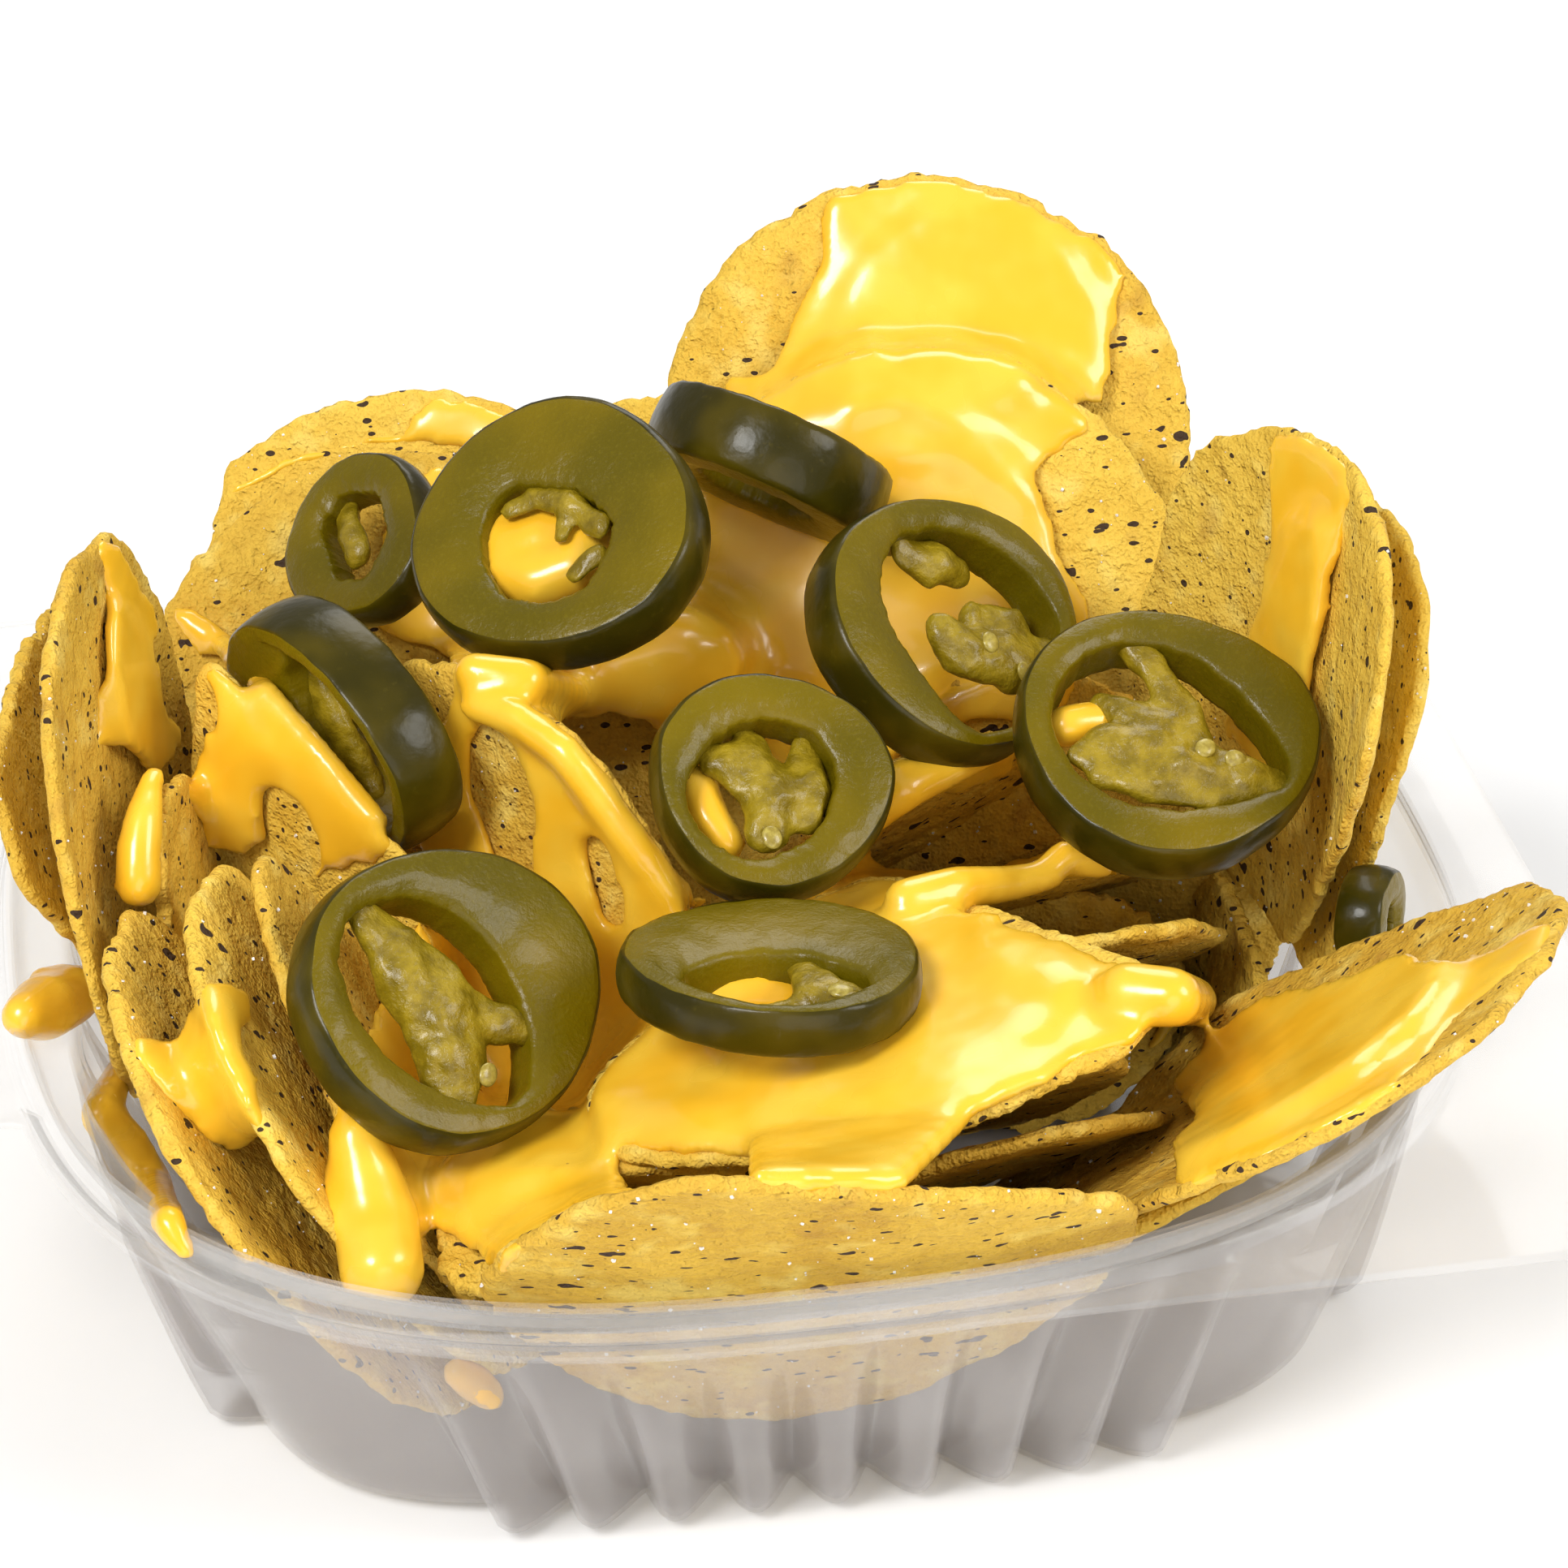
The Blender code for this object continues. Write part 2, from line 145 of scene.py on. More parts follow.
# (outline, depth, width of its rounded edge)
SAUCE_AREAS = (
    # over the top of the tall chip at the back
    (((4, 68), (3, 60), (0, 53), (-3, 48), (-7, 44), (6, 38), (14, 36), (30, 36), (38, 43), (39.5, 50),
     (39.7, 57), (41, 63), (32, 72), (20, 76), (8, 74)), 1.1, 1.2),
    # folds on the chip in front of it
    (((-7, 44), (-4, 47), (4, 50), (11, 52), (20, 52), (28, 50), (31, 47), (30, 40), (31, 34), (33, 27),
     (37, 20), (34, 8), (22, -1), (8, -2), (-14, 4), (-24, 10), (-24, 30), (-12, 40)), 1.8, 1.6),
    # strip inside the curled chip on the right
    (((56, 43), (67, 43), (66.5, 35), (65.5, 26), (63, 16), (61, 6), (58, -2), (50, 6), (52, 14), (55, 24)),
     1.5, 1.8),
    # layer on the low chip on the right
    (((40, -27), (46, -26.5), (50, -25.5), (60, -22.5), (66, -21), (71, -19.3), (78, -19.6), (83, -18),
     (89, -14.5), (91, -18), (88.5, -20.5), (84, -23.5), (80, -27), (75, -32.5), (66, -38.5), (58, -42),
     (51, -46), (47, -47.2), (44, -45), (44.5, -41.5), (46.5, -38), (43, -35), (39, -31)), 2.6, 2.6),
    # flow down the left chips
    (((-80.8, 28), (-78, 35), (-70, 35), (-70, 24), (-72, 20.8), (-68, 20.8), (-65, 18.5), (-60, 12),
     (-55, 5.5), (-50, 0), (-46, -5), (-43.5, -8), (-48, -10), (-53, -11), (-56, -12.8), (-54.5, -8),
     (-56.5, -3.5), (-59.5, -1), (-59.5, -6), (-61, -8.6), (-63.5, -9.8), (-66.5, -8.8), (-69, -4.5),
     (-71.5, 0.5), (-73.5, 1), (-75, 3), (-77, 4.2), (-80.5, 3.2), (-80.3, 10), (-79, 19)), 2, 1.8),
    # blob on the lowest chips at the left
    (((-66, -22.8), (-63, -22.6), (-60, -24.5), (-61.5, -27), (-61.8, -31), (-60.5, -35), (-59.8, -41),
     (-62, -43.6), (-66, -42.5), (-70, -39), (-74, -35.5), (-76, -33), (-78, -37), (-80, -40), (-82.5, -40),
     (-79, -35.5), (-76.5, -31), (-76, -28.5), (-73.5, -27.6), (-70, -29.6), (-67.5, -27)), 2.8, 2.2),
    # flow under the large slice, over the edge of the heap
    (((-53, -36), (-50, -28), (-36, -30), (-22, -34), (-18, -40), (-19, -43), (-17.5, -46), (-14, -47.8),
     (-22, -48.6), (-25, -49.8), (-28, -52), (-31, -57), (-33, -58), (-36, -54.8), (-40, -51), (-41.4, -51.5),
     (-41, -56), (-42.5, -60), (-47, -61), (-51.5, -59.3), (-52.8, -55.5), (-51.4, -51), (-53, -47),
     (-52, -41)), 2.6, 2.4),
    # the pool in the middle, with its tongue to the right
    (((-39, 12), (-30, 10.5), (-25, 8), (-20, 0), (-15, -7), (-11, -12), (-4, -13), (0, -11), (4, -7),
     (9, -2.2), (14, 1.2), (20, 3.8), (25.5, 5.4), (27, 3.5), (24, 0.6), (20, -1.6), (14, -3.2), (12, -6),
     (10.4, -8.9), (18, -10.2), (26, -10.3), (29.6, -9.4), (31, -6.3), (34, -5.2), (40, -8.6), (38, -12),
     (34, -12.4), (30, -12.2), (27.5, -13.2), (26.4, -15), (30, -17), (37, -19), (44, -20.4), (49, -21.4),
     (51.4, -25), (49, -28.4), (44, -29.8), (41, -31), (36, -32.4), (30, -34.8), (25, -36.3), (20, -38.8),
     (12, -42), (-3, -44.2), (-12, -44), (-19, -43), (-30, -42), (-50, -30), (-44, -16), (-44, -2)), 2.6,
     2.2),
    # under and beside the slice at the upper left
    (((-40, 14), (-36, 20), (-22, 22), (-14, 14), (-19, 9), (-21, 6.6), (-25, 7.5), (-30, 10), (-39, 10.5)),
     2.6, 2),
    (((-41, 38), (-47, 31), (-47.5, 24), (-50, 20.5), (-45, 15), (-38, 12), (-28, 18), (-32, 34)), 2, 1.8),
    (((-45, 42.5), (-41, 46), (-32, 45), (-30, 36), (-42, 38)), 1.2, 1.4),
)
# (path, half width, depth)
SAUCE_RIDGES = (
    (((-5, 45.5), (5, 49), (12, 50), (20, 50), (28, 48)), 2.8, 3.6),
    (((8, 44), (14, 46.5), (20, 44), (26, 46)), 3.4, 3.6),
    (((4, 42), (10, 38), (20, 39), (28, 34)), 2.6, 2.8),
    (((-66, 33), (-58, 37), (-48, 39.7), (-38, 40)), 1.3, 1),
    (((-69, 19.5), (-64, 16), (-58, 8.5), (-52, 1.5), (-47, -4.5)), 1.6, 2.2),
    (((-35, 9.5), (-28, 7), (-22, 0), (-17, -8), (-12, -14)), 3, 3.4),
    (((-1, -12), (8, -5), (14, -1), (20, 1.4), (25, 3.6)), 3, 3.8),
    (((12, -16), (18, -13), (24, -12), (29, -11)), 3, 4.4),
    (((29, -10.6), (32, -8.4), (38, -10)), 2.6, 3.4),
    (((24, -19), (34, -22), (42, -24), (47, -25)), 4, 5),
    (((-24, -36), (-16, -37), (-6, -37.5), (8, -39), (19, -37.4), (30, -33)), 3, 3.8),
    (((-50, -44), (-49, -52), (-47, -57)), 4.6, 4.4),
    (((-44, -48), (-38, -50.5), (-33, -54)), 3, 3.4),
    (((47.5, -45), (52, -43), (60, -39.5), (70, -34)), 3, 3.4),
    (((-66, -26), (-68, -32), (-65, -38)), 3.6, 4.2),
    (((-66, 6), (-65, 0), (-64, -5)), 4.6, 4.4),
    (((-8, 35.5), (0, 32), (5, 28)), 1.4, 1.8),
    (((-12, 18), (-4, 15), (4, 12)), 2.2, 2.6),
)
# where it runs on from one chip to the next, however deep the step
SAUCE_JOINS = (
    ((-24, 5), (-24, 24), (-9, 26), (2, 18), (10, 8), (14, -2), (-2, -12), (-12, -8)),
    ((-39, 8), (-39, 18), (-24, 20), (-20, 6)),
    ((-44, -16), (-30, -14), (-14, -22), (-18, -36), (-30, -42), (-50, -30)),
    ((-2, -10), (12, -4), (22, -12), (12, -20), (-6, -20)),
    ((-54, -36), (-30, -38), (-18, -38), (-14, -48), (-34, -56), (-54, -50)),
    ((-20, 2), (-8, -14), (-18, -20), (-28, -6)),
    ((-79, -26), (-66, -20), (-57, -24), (-57, -45), (-70, -43), (-79, -35)),
    ((-9, 43), (3, 55), (29, 55), (36, 46), (30, 38), (8, 40), (-7, 40)),
)
SAUCE_HOLES = (
    ((-72, 16.5), (-69.5, 16), (-66.8, 9.5), (-66.6, 7), (-69.5, 7.4), (-72, 11)),
    ((-36, 5), (-33.5, 6), (-30, -2), (-29.5, -12), (-32, -10), (-35, -2)),
    ((-22.5, -7), (-21, -8), (-19.6, -16), (-20.8, -15)),
)
# (right, up, radius, lift) along each drip that hangs from the skin of sauce
SAUCE_DRIPS = (
    ((-73.3, 1, 1.4, 0), (-74.4, -4, 2.3, -0.4), (-75, -8, 2.7, -0.6), (-75, -11.6, 2.8, -0.6)),
    ((-49.8, -41, 3, -2.2), (-48.6, -46, 4, -2.6), (-47.4, -51, 4.6, -2.8), (-46.8, -56.2, 4.6, -2.8)),
    ((40, -24.3, 3.4, -2.4), (45, -24.8, 3.2, -1.8), (47.6, -25.2, 2.8, -1.4)),
    # along the broken edges in the middle
    ((2, -9.5, 2.2, -1.6), (8, -5, 2.4, -1.4), (14, -0.8, 2.4, -1.2), (20, 2, 2, -1.2),
     (25, 3.8, 1.4, -1)),
    ((14, -13.4, 2.4, -2), (20, -12, 2.5, -1.4), (26, -11.6, 2.2, -1.2), (31, -10.6, 1.8, -1)),
    ((30.5, -10.4, 1.8, -1), (32.5, -8.4, 2, -1), (37, -9.6, 1.6, -1)),
    ((-36, 9, 1.8, -1.4), (-31, 7.6, 2, -1.4), (-25.5, 3.6, 2.2, -1.4), (-20.5, -3, 2.2, -1.6),
     (-16, -9, 2.2, -1.8)),
    ((-70, 19.4, 1.2, -1), (-65.5, 16.4, 1.5, -1), (-60, 10.4, 1.6, -1), (-54, 3.6, 1.6, -1),
     (-47.5, -4.2, 1.6, -1)),
    ((-36, 13, 2.4, -2), (-30, 12, 2.6, -2), (-24, 10.4, 2.2, -1.8)),
)
# the curtain from the flat chip down to the front one: its upper and lower edge
CURTAIN = ((-2.8, -42.0), (20.0, -39.2)), ((-2.8, -46.0), (13.0, -46.2))
CURTAIN_RADIUS = 1.4
CURTAIN_RUNS = 18
# (right, up, radius, lift) along each run of sauce on the tray's own wall
WALL_DRIPS = (
    ((-88.4, -27, 2.6, -1.2), (-86, -26, 3.8, -1.8), (-82.8, -24.6, 3.4, -1.6)),
    ((-86.5, -22.6, 1.4, -0.6), (-84, -23.2, 2.4, -1), (-81.4, -23.4, 2.4, -1)),
    ((-77, -33, 1.8, -0.6), (-79.5, -38.5, 2.4, -0.8), (-76.5, -42, 2.8, -0.8), (-73.5, -46.5, 2.4, -0.8),
     (-71.5, -51, 1.9, -0.8), (-69.5, -54.5, 1.2, -0.6)),
    ((-38, -68.4, 1.8, -3), (-36, -69.6, 2.2, -3.2), (-34, -71.2, 1.8, -3.2)),
)

# Slices of pepper
PEPPER_STEPS = 120
PEPPER_VOXEL = 0.55
LEAST_RING = 1.8  # between a slice's hole and its outside
# (share of the way in from the skin to the hole, level between the faces) of each row of a slice
PEPPER_SKIN = ((0.0, -0.8), (0.0, -0.45), (0.0, 0.0), (0.0, 0.45), (0.0, 0.8), (0.012, 0.93), (0.05, 1.0))
PEPPER_FACE = ((0.12, 1.0), (0.25, 1.0), (0.4, 1.0), (0.55, 1.0), (0.7, 1.0), (0.82, 1.0), (0.92, 1.0))
PEPPER_HOLE = ((0.985, 0.96), (1.0, 0.8), (1.0, 0.4), (1.0, 0.0), (1.0, -0.4), (1.0, -0.8), (0.985, -0.96))
WEB_FLATTENING = 0.35
# (height, size, seed, octaves) of the waves that roughen a web, outwards, across and up
WEB_WAVES = ((0.7, 4, 21, 3), (0.5, 3, 22, 2), (0.5, 3, 23, 2))
SEED_RADIUS = 1.35
SEED_SHAPE = (1.0, 0.82, 0.32)
# A slice as the camera sees it: its hole's outline (or a share of its radius, where it faces away), its
# webs as strands of (right, up, radius, level), its seeds as (right, up, level) and the sauce that fills
# its hole as (right, up, radius, depth). A level runs from -1 at the back to 1 at the front, and a depth is
# in mm in front of the middle.
Slice = namedtuple("Slice", "hole webs seeds sauce", defaults=((), (), ()))
SLICES = {
    "jalapeno_1": Slice(
        hole=((-35.4, 26.5), (-35.2, 31), (-32.6, 35), (-28.5, 35), (-24, 34.4), (-20, 31), (-21, 27),
              (-23.5, 23), (-28, 21.2), (-33, 22.2)),
        webs=(
            ((-32, 32.4, 1.3, 0.7), (-29, 33.8, 1.5, 0.7), (-25, 33.2, 1.6, 0.7), (-21.8, 30.4, 1.6, 0.7)),
            ((-25.5, 33, 1.3, 0.7), (-26.3, 29.5, 1.1, 0.7)),
            ((-22, 27, 1.3, 0.6), (-24.5, 25, 1.2, 0.6)),
        ),
        sauce=((-33.4, 24.4, 3.4, -2.6), (-28.6, 23.4, 3.4, -2.6), (-24.4, 25, 3.4, -2.8),
              (-22.6, 28.6, 3.4, -3), (-25.4, 32.4, 3.4, -3), (-30.4, 33, 3.4, -2.8),
              (-33.6, 30, 3.4, -2.6), (-33, 26.6, 3.4, -2.6), (-28, 28, 3.8, -2.8)),
    ),
    "jalapeno_2": Slice(hole=0.5),
    "jalapeno_3": Slice(
        hole=((11.6, 25), (13.5, 29), (18, 30), (23.5, 28.6), (28.5, 25), (32, 20), (32.6, 15), (30, 9),
              (26.5, 5), (23.5, 5.6), (19.5, 8.8), (16, 13.5), (13, 18.5), (11.6, 22)),
        webs=(
            ((13.8, 27, 2, 0), (17, 25.5, 2.8, -0.1), (20, 24.5, 1.8, -0.2)),
            ((18.5, 17.5, 2.4, 0.1), (21.5, 15, 3.4, 0), (26, 14, 3.8, 0), (30.5, 14.5, 2.6, 0)),
            ((22, 19, 2.2, -0.3), (26, 18, 2.6, -0.2)),
        ),
        seeds=((24, 16.5, 0.7), (28, 13, 0.7)),
    ),
    "jalapeno_4": Slice(
        hole=((31.2, 7), (31.8, 11.5), (34.6, 15), (39, 16.6), (44.5, 16.4), (49, 14.4), (53.6, 10.5),
              (57.6, 5.5), (59.6, 0.6), (55, -1.2), (47, -2.8), (39, -1.8), (34, 1.6)),
        webs=(
            ((40.5, 16, 1.8, 0.3), (43.5, 12.5, 2, 0.3), (46.5, 8, 2.2, 0.3), (48.5, 4, 2.2, 0.4)),
            ((34.5, 3.4, 1.8, 0), (38, 4.4, 2.8, 0.1), (43, 3.2, 3.6, 0.1), (48.5, 1.8, 3.4, 0.2),
             (54, 0.6, 2.6, 0.3), (58, 0.2, 1.6, 0.4)),
            ((36.5, 9, 1.4, -0.4), (39.5, 8, 2.4, -0.2), (44, 6, 2.6, 0)),
            ((37, 1, 2, -0.1), (43, 0, 2.8, 0), (50, -0.8, 2.6, 0.1), (55, 0.2, 1.8, 0.2)),
        ),
        seeds=((49, 4.2, 0.8), (52.5, 2.8, 0.8)),
        sauce=((32.6, 6.6, 2.6, -2.2), (36.2, 7.2, 2.6, -2.4)),
    ),
    "jalapeno_5": Slice(
        hole=((-11.2, 0.6), (-9, 4.6), (-4.5, 7.6), (0.5, 7.6), (4.5, 5.6), (6.2, 1.6), (5.6, -2.6),
              (2.8, -6.4), (-2, -8.6), (-6.4, -8), (-9.8, -5), (-11.2, -2)),
        webs=(
            ((-7.5, 2.5, 2.2, -0.1), (-4.5, 1.6, 3.4, -0.1), (-1.2, -1.6, 3.8, 0), (-2, -5.4, 2.8, 0.2)),
            ((2, 4, 1.6, -0.3), (2.6, -0.5, 2.8, -0.1), (2.4, -3.6, 2.4, 0.1)),
            ((-5, 6, 1.4, -0.3), (-3.4, 3.6, 2, -0.2)),
        ),
        seeds=((-1.4, -6.2, 0.8),),
        sauce=((-10, 0, 2.4, -3), (-9, -4, 2.6, -3), (-6.6, -7, 2.2, -2.8)),
    ),
    "jalapeno_6": Slice(
        hole=((-13.2, -23.6), (-11, -20.8), (-5, -19.2), (2, -19.2), (8.6, -21), (11.6, -24.4), (10.4, -27.8),
              (5, -30), (-2.5, -30.6), (-8.6, -29.4), (-12.2, -26.8)),
        webs=(
            ((2.4, -21.6, 1.8, 0), (4.6, -24.4, 2.8, 0), (8, -25.8, 2.4, 0)),
            ((4, -26, 1.6, -0.4), (0.6, -26.6, 1.2, -0.6), (-3, -27, 1, -0.6)),
        ),
        seeds=((6.6, -24, 0.7),),
        sauce=((-9.4, -25.6, 2.4, -3.4), (-4.4, -25, 4, -4), (0, -25.4, 3, -4)),
    ),
    "jalapeno_7": Slice(
        hole=((-47, -13.4), (-43, -12.8), (-38, -14.6), (-33, -19.4), (-30.2, -25), (-28.8, -31), (-30, -37),
              (-34.4, -37.4), (-40, -35.6), (-45, -32.4), (-49.2, -27.4), (-51.6, -21), (-51.2, -17),
              (-49.6, -14.6)),
        webs=(
            ((-49, -15.2, 2, 0.2), (-46.4, -18.4, 3, 0.1), (-43, -22.6, 4.4, 0),
             (-39.6, -27.4, 4.8, 0), (-38.6, -32, 4.2, 0.1), (-37.5, -35.4, 2.4, 0.3)),
            ((-38, -25.8, 3, 0.2), (-33.6, -27.6, 2.4, 0.2), (-30.4, -28.4, 2, 0.3)),
        ),
        seeds=((-34.4, -33.8, 0.6),),
    ),
    "jalapeno_8": Slice(
        hole=((-58.8, 17), (-55, 18.4), (-51, 15.4), (-47.4, 9), (-45, 1), (-44.6, -5), (-46.4, -6.6),
              (-50.4, -3.4), (-54.8, 3), (-58.2, 11)),
        webs=(
            ((-55.6, 14.5, 1.8, -0.1), (-53, 9.5, 2.8, -0.1), (-50.6, 4.5, 3, -0.1),
             (-48, -0.5, 2.2, -0.1)),
        ),
    ),
    "jalapeno_9": Slice(
        hole=((-54.4, 30), (-51.6, 34), (-47.6, 34), (-46.4, 29), (-49, 24), (-52.4, 24)),
        webs=(((-51, 32, 1.8, 0), (-49.6, 27, 2, 0)),),
    ),
    "jalapeno_10": Slice(hole=0.3),
}

# Salt
SALT_GRAINS = 520
SALT_CORNERS = [(x, y, z) for x in (-1, 1) for y in (-1, 1) for z in (-1, 1)]
SALT_SIDES = ((0, 1, 3, 2), (4, 6, 7, 5), (0, 4, 5, 1), (2, 3, 7, 6), (0, 2, 6, 4), (1, 5, 7, 3))

# Studio: (name, place in metres, size, power) of each lamp
LAMPS = (
    ("key", (-0.55, -0.5, 0.9), 0.4, 9.2),
    ("fill", (0.75, -0.4, 0.7), 0.5, 5.0),
    ("back", (0.25, 0.85, 0.8), 0.6, 3.6),
    ("front", (0.05, -1.0, 0.35), 0.8, 2.6),
)
LAMP_TARGET = (0, 0, 0.04)
SURROUNDINGS = 0.36


def ways_of(azimuth, elevation):
    """Unit vectors rightwards, upwards and outwards of what faces the given way, in degrees."""
    azimuth, elevation = math.radians(azimuth), math.radians(elevation)
    flat = math.cos(elevation)
    out = np.array([math.sin(azimuth) * flat, -math.cos(azimuth) * flat, math.sin(elevation)])
    right = np.array([math.cos(azimuth), math.sin(azimuth), 0.0])
    return right, np.cross(out, right), out


RIGHT, UP, BACK = ways_of(CAMERA_AZIMUTH, CAMERA_ELEVATION)
LENS = np.array(CAMERA_TARGET) + CAMERA_DISTANCE * BACK


# ---------------------------------------------------------------- shader maths


class Number:
    """A varying shader value; the operators below add Math nodes."""

    def __init__(self, finish, socket):
        self.finish, self.socket = finish, socket

    def math(self, operation, *values):
        node = self.finish.node("ShaderNodeMath", {"operation": operation}, dict(enumerate(values)))
        return Number(self.finish, node.outputs[0])

    def clamped(self):
        return self.math("MAXIMUM", self.math("MINIMUM", self, 1.0), 0.0)

    def rise(self, low, high):
        """0 below low, 1 above high, smooth between them."""
        sockets = {"Value": self, "From Min": low, "From Max": high}
        node = self.finish.node("ShaderNodeMapRange", {"interpolation_type": "SMOOTHSTEP"}, sockets)
        return Number(self.finish, node.outputs[0])


OPERATORS = {"add": "ADD", "sub": "SUBTRACT", "mul": "MULTIPLY", "pow": "POWER", "lt": "LESS_THAN"}
for word, operation in OPERATORS.items():
    setattr(Number, f"__{word}__", lambda a, b, kind=operation: a.math(kind, a, b))
    if word in ("add", "sub"):
        setattr(Number, f"__r{word}__", lambda a, b, kind=operation: a.math(kind, b, a))


class Finish:
    """A material made of nodes, with a Principled shader at its end."""

    def __init__(self, name):
        self.material = bpy.data.materials.new(name)
        self.material.use_nodes = True
        self.tree = self.material.node_tree
        self.shader = self.tree.nodes["Principled BSDF"]
        place = self.node("ShaderNodeTexCoord").outputs["Object"]
        scaled = self.node("ShaderNodeVectorMath", {"operation": "SCALE"}, {0: place, "Scale": 1.0 / MM})
        self.place_mm = scaled.outputs[0]

    def node(self, kind, settings=None, sockets=None):
        node = self.tree.nodes.new(kind)
        for name, value in (settings or {}).items():
            setattr(node, name, value)
        for name, value in (sockets or {}).items():
            self.feed(node.inputs[name], value)
        return node

    def feed(self, socket, value):
        if isinstance(value, Number):
            value = value.socket
        if isinstance(value, bpy.types.NodeSocket):
            self.tree.links.new(value, socket)
        else:
            socket.default_value = value

    def set(self, **sockets):
        for name, value in sockets.items():
            self.feed(self.shader.inputs[name.replace("_", " ")], value)

    def clouds(self, size, detail, roughness, place=None):
        """Soft noise from 0 to 1 with features about size mm across."""
        place = place or self.place_mm
        sockets = {"Vector": place, "Scale": 1.0 / size, "Detail": detail, "Roughness": roughness}
        return Number(self, self.node("ShaderNodeTexNoise", None, sockets).outputs[0])

    def cells(self, size, place):
        """Voronoi cells: distance to the cell's point, and a random number for each cell."""
        node = self.node("ShaderNodeTexVoronoi", None, {"Vector": place, "Scale": 1.0 / size})
        chance = self.node("ShaderNodeSeparateColor", None, {0: node.outputs["Color"]}).outputs[0]
        return Number(self, node.outputs["Distance"]), Number(self, chance)

    def mix(self, factor, first, second):
        """A colour between two others; each is (r, g, b) or a socket."""
        sockets = {0: factor, 6: colour(first), 7: colour(second)}
        return self.node("ShaderNodeMix", {"data_type": "RGBA"}, sockets).outputs[2]

    def bump(self, height, depth, before=None):
        """Relief of the given depth in mm; before is a normal that it adds to."""
        sockets = {"Height": height, "Strength": 1.0, "Distance": depth * MM}
        if before is not None:
            sockets["Normal"] = before
        return self.node("ShaderNodeBump", None, sockets).outputs[0]


def colour(value):
    return (*value, 1.0) if isinstance(value, tuple) else value


def tortilla(name, base, shade, seed):
    """Fried corn: mottled yellow, dark specks of husk, brown blisters and a rough, dry surface."""
    f = Finish(name)
    away = {0: f.place_mm, 1: (seed, 2 * seed, -seed)}
    shift = f.node("ShaderNodeVectorMath", {"operation": "ADD"}, away).outputs[0]
    broad = f.clouds(17, 1, 0.6, shift)
    grain = f.clouds(1.6, 2, 0.7, shift)
    sand = f.clouds(0.45, 1, 0.6, shift)
    ground = f.mix((broad * 1.6 - 0.3 + (grain - 0.5) * 1.1 + (sand - 0.5) * 0.7).clamped(), shade, base)
    pale = f.clouds(6, 2, 0.6, shift).rise(0.52, 0.72) * 0.55
    ground = f.mix(pale, ground, (0.95, 0.72, 0.17))
    toasted = f.clouds(9, 2, 0.65, shift).rise(0.58, 0.76) * 0.5
    ground = f.mix(toasted, ground, (0.42, 0.20, 0.035))
    turned = {"Vector": shift, "Rotation": (0.5, 0.3, 0.9), "Scale": (0.62, 1.35, 1.35)}
    long_place = f.node("ShaderNodeMapping", None, turned).outputs[0]
    wobble = (f.clouds(1.1, 0, 0.6, shift) - 0.5) * 0.35
    near, chance = f.cells(3.8, long_place)
    large = near + wobble < chance * 0.42 - 0.17
    near, chance = f.cells(1.7, long_place)
    small = near + wobble < chance * 0.50 - 0.22
    specks = (large + small).clamped()
    ground = f.mix(specks * 0.95, ground, (0.016, 0.006, 0.013))
    blisters = f.clouds(3.4, 1, 0.5, shift)
    normal = f.bump(sand, 0.30)
    normal = f.bump(grain, 0.70, normal)
    normal = f.bump(blisters, 0.8, normal)
    f.set(Specular_IOR_Level=0.25)
    f.set(Base_Color=ground, Roughness=(0.62 + grain * 0.2), Normal=normal)
    return f.material


def patchy(name, patch, rise, tones, roughness):
    """A finish with two tones in patches; roughness gives its least value and what the patches add."""
    f = Finish(name)
    cloud = f.clouds(*patch)
    f.set(Base_Color=f.mix(cloud.rise(*rise), *tones), Roughness=roughness[0] + cloud * roughness[1])
    return f


def cheese_sauce():
    """Warm processed cheese sauce: saturated yellow, wet gloss, faint streaks."""
    tones = (0.97, 0.525, 0.022), (0.98, 0.605, 0.048)
    f = patchy("cheese_sauce", (9, 2, 0.5), (0.35, 0.7), tones, (0.20, 0.12))
    f.set(Normal=f.bump(f.clouds(5, 1, 0.4), 0.25), Coat_Weight=0.35, Coat_Roughness=0.08)
    return f.material


def pepper_flesh():
    """Pickled pepper wall cut across: olive, wet and finely pitted, a little paler in places."""
    f = Finish("jalapeno_flesh")
    grain = f.clouds(0.5, 3, 0.6)
    tone = f.mix(f.clouds(14, 2, 0.4).rise(0.3, 0.75), (0.110, 0.082, 0.0004), (0.190, 0.130, 0.0010))
    tone = f.mix(grain.rise(0.5, 0.8) * 0.22, tone, (0.26, 0.20, 0.006))
    normal = f.bump(f.clouds(3.5, 2, 0.5), 0.25, f.bump(grain, 0.10))
    f.set(Base_Color=tone, Roughness=0.24 + grain * 0.14, Normal=normal)
    f.set(Specular_IOR_Level=0.22, Coat_Weight=0.10, Coat_Roughness=0.05)
    return f.material


def pepper_skin():
    """The slice's dark green outside, smooth and glossy."""
    f = Finish("jalapeno_skin")
    patch = f.clouds(9, 2, 0.4)
    tone = f.mix(patch.rise(0.35, 0.7), (0.030, 0.024, 0.0006), (0.075, 0.054, 0.0012))
    tone = f.mix(f.clouds(0.9, 2, 0.5).rise(0.62, 0.8) * 0.2, tone, (0.12, 0.09, 0.008))
    normal = f.bump(f.clouds(5, 2, 0.5), 0.3, f.bump(f.clouds(1.2, 2, 0.5), 0.05))
    f.set(Base_Color=tone, Roughness=0.26 + patch * 0.1, Normal=normal)
    f.set(Specular_IOR_Level=0.2, Coat_Weight=0.10, Coat_Roughness=0.06)
    return f.material


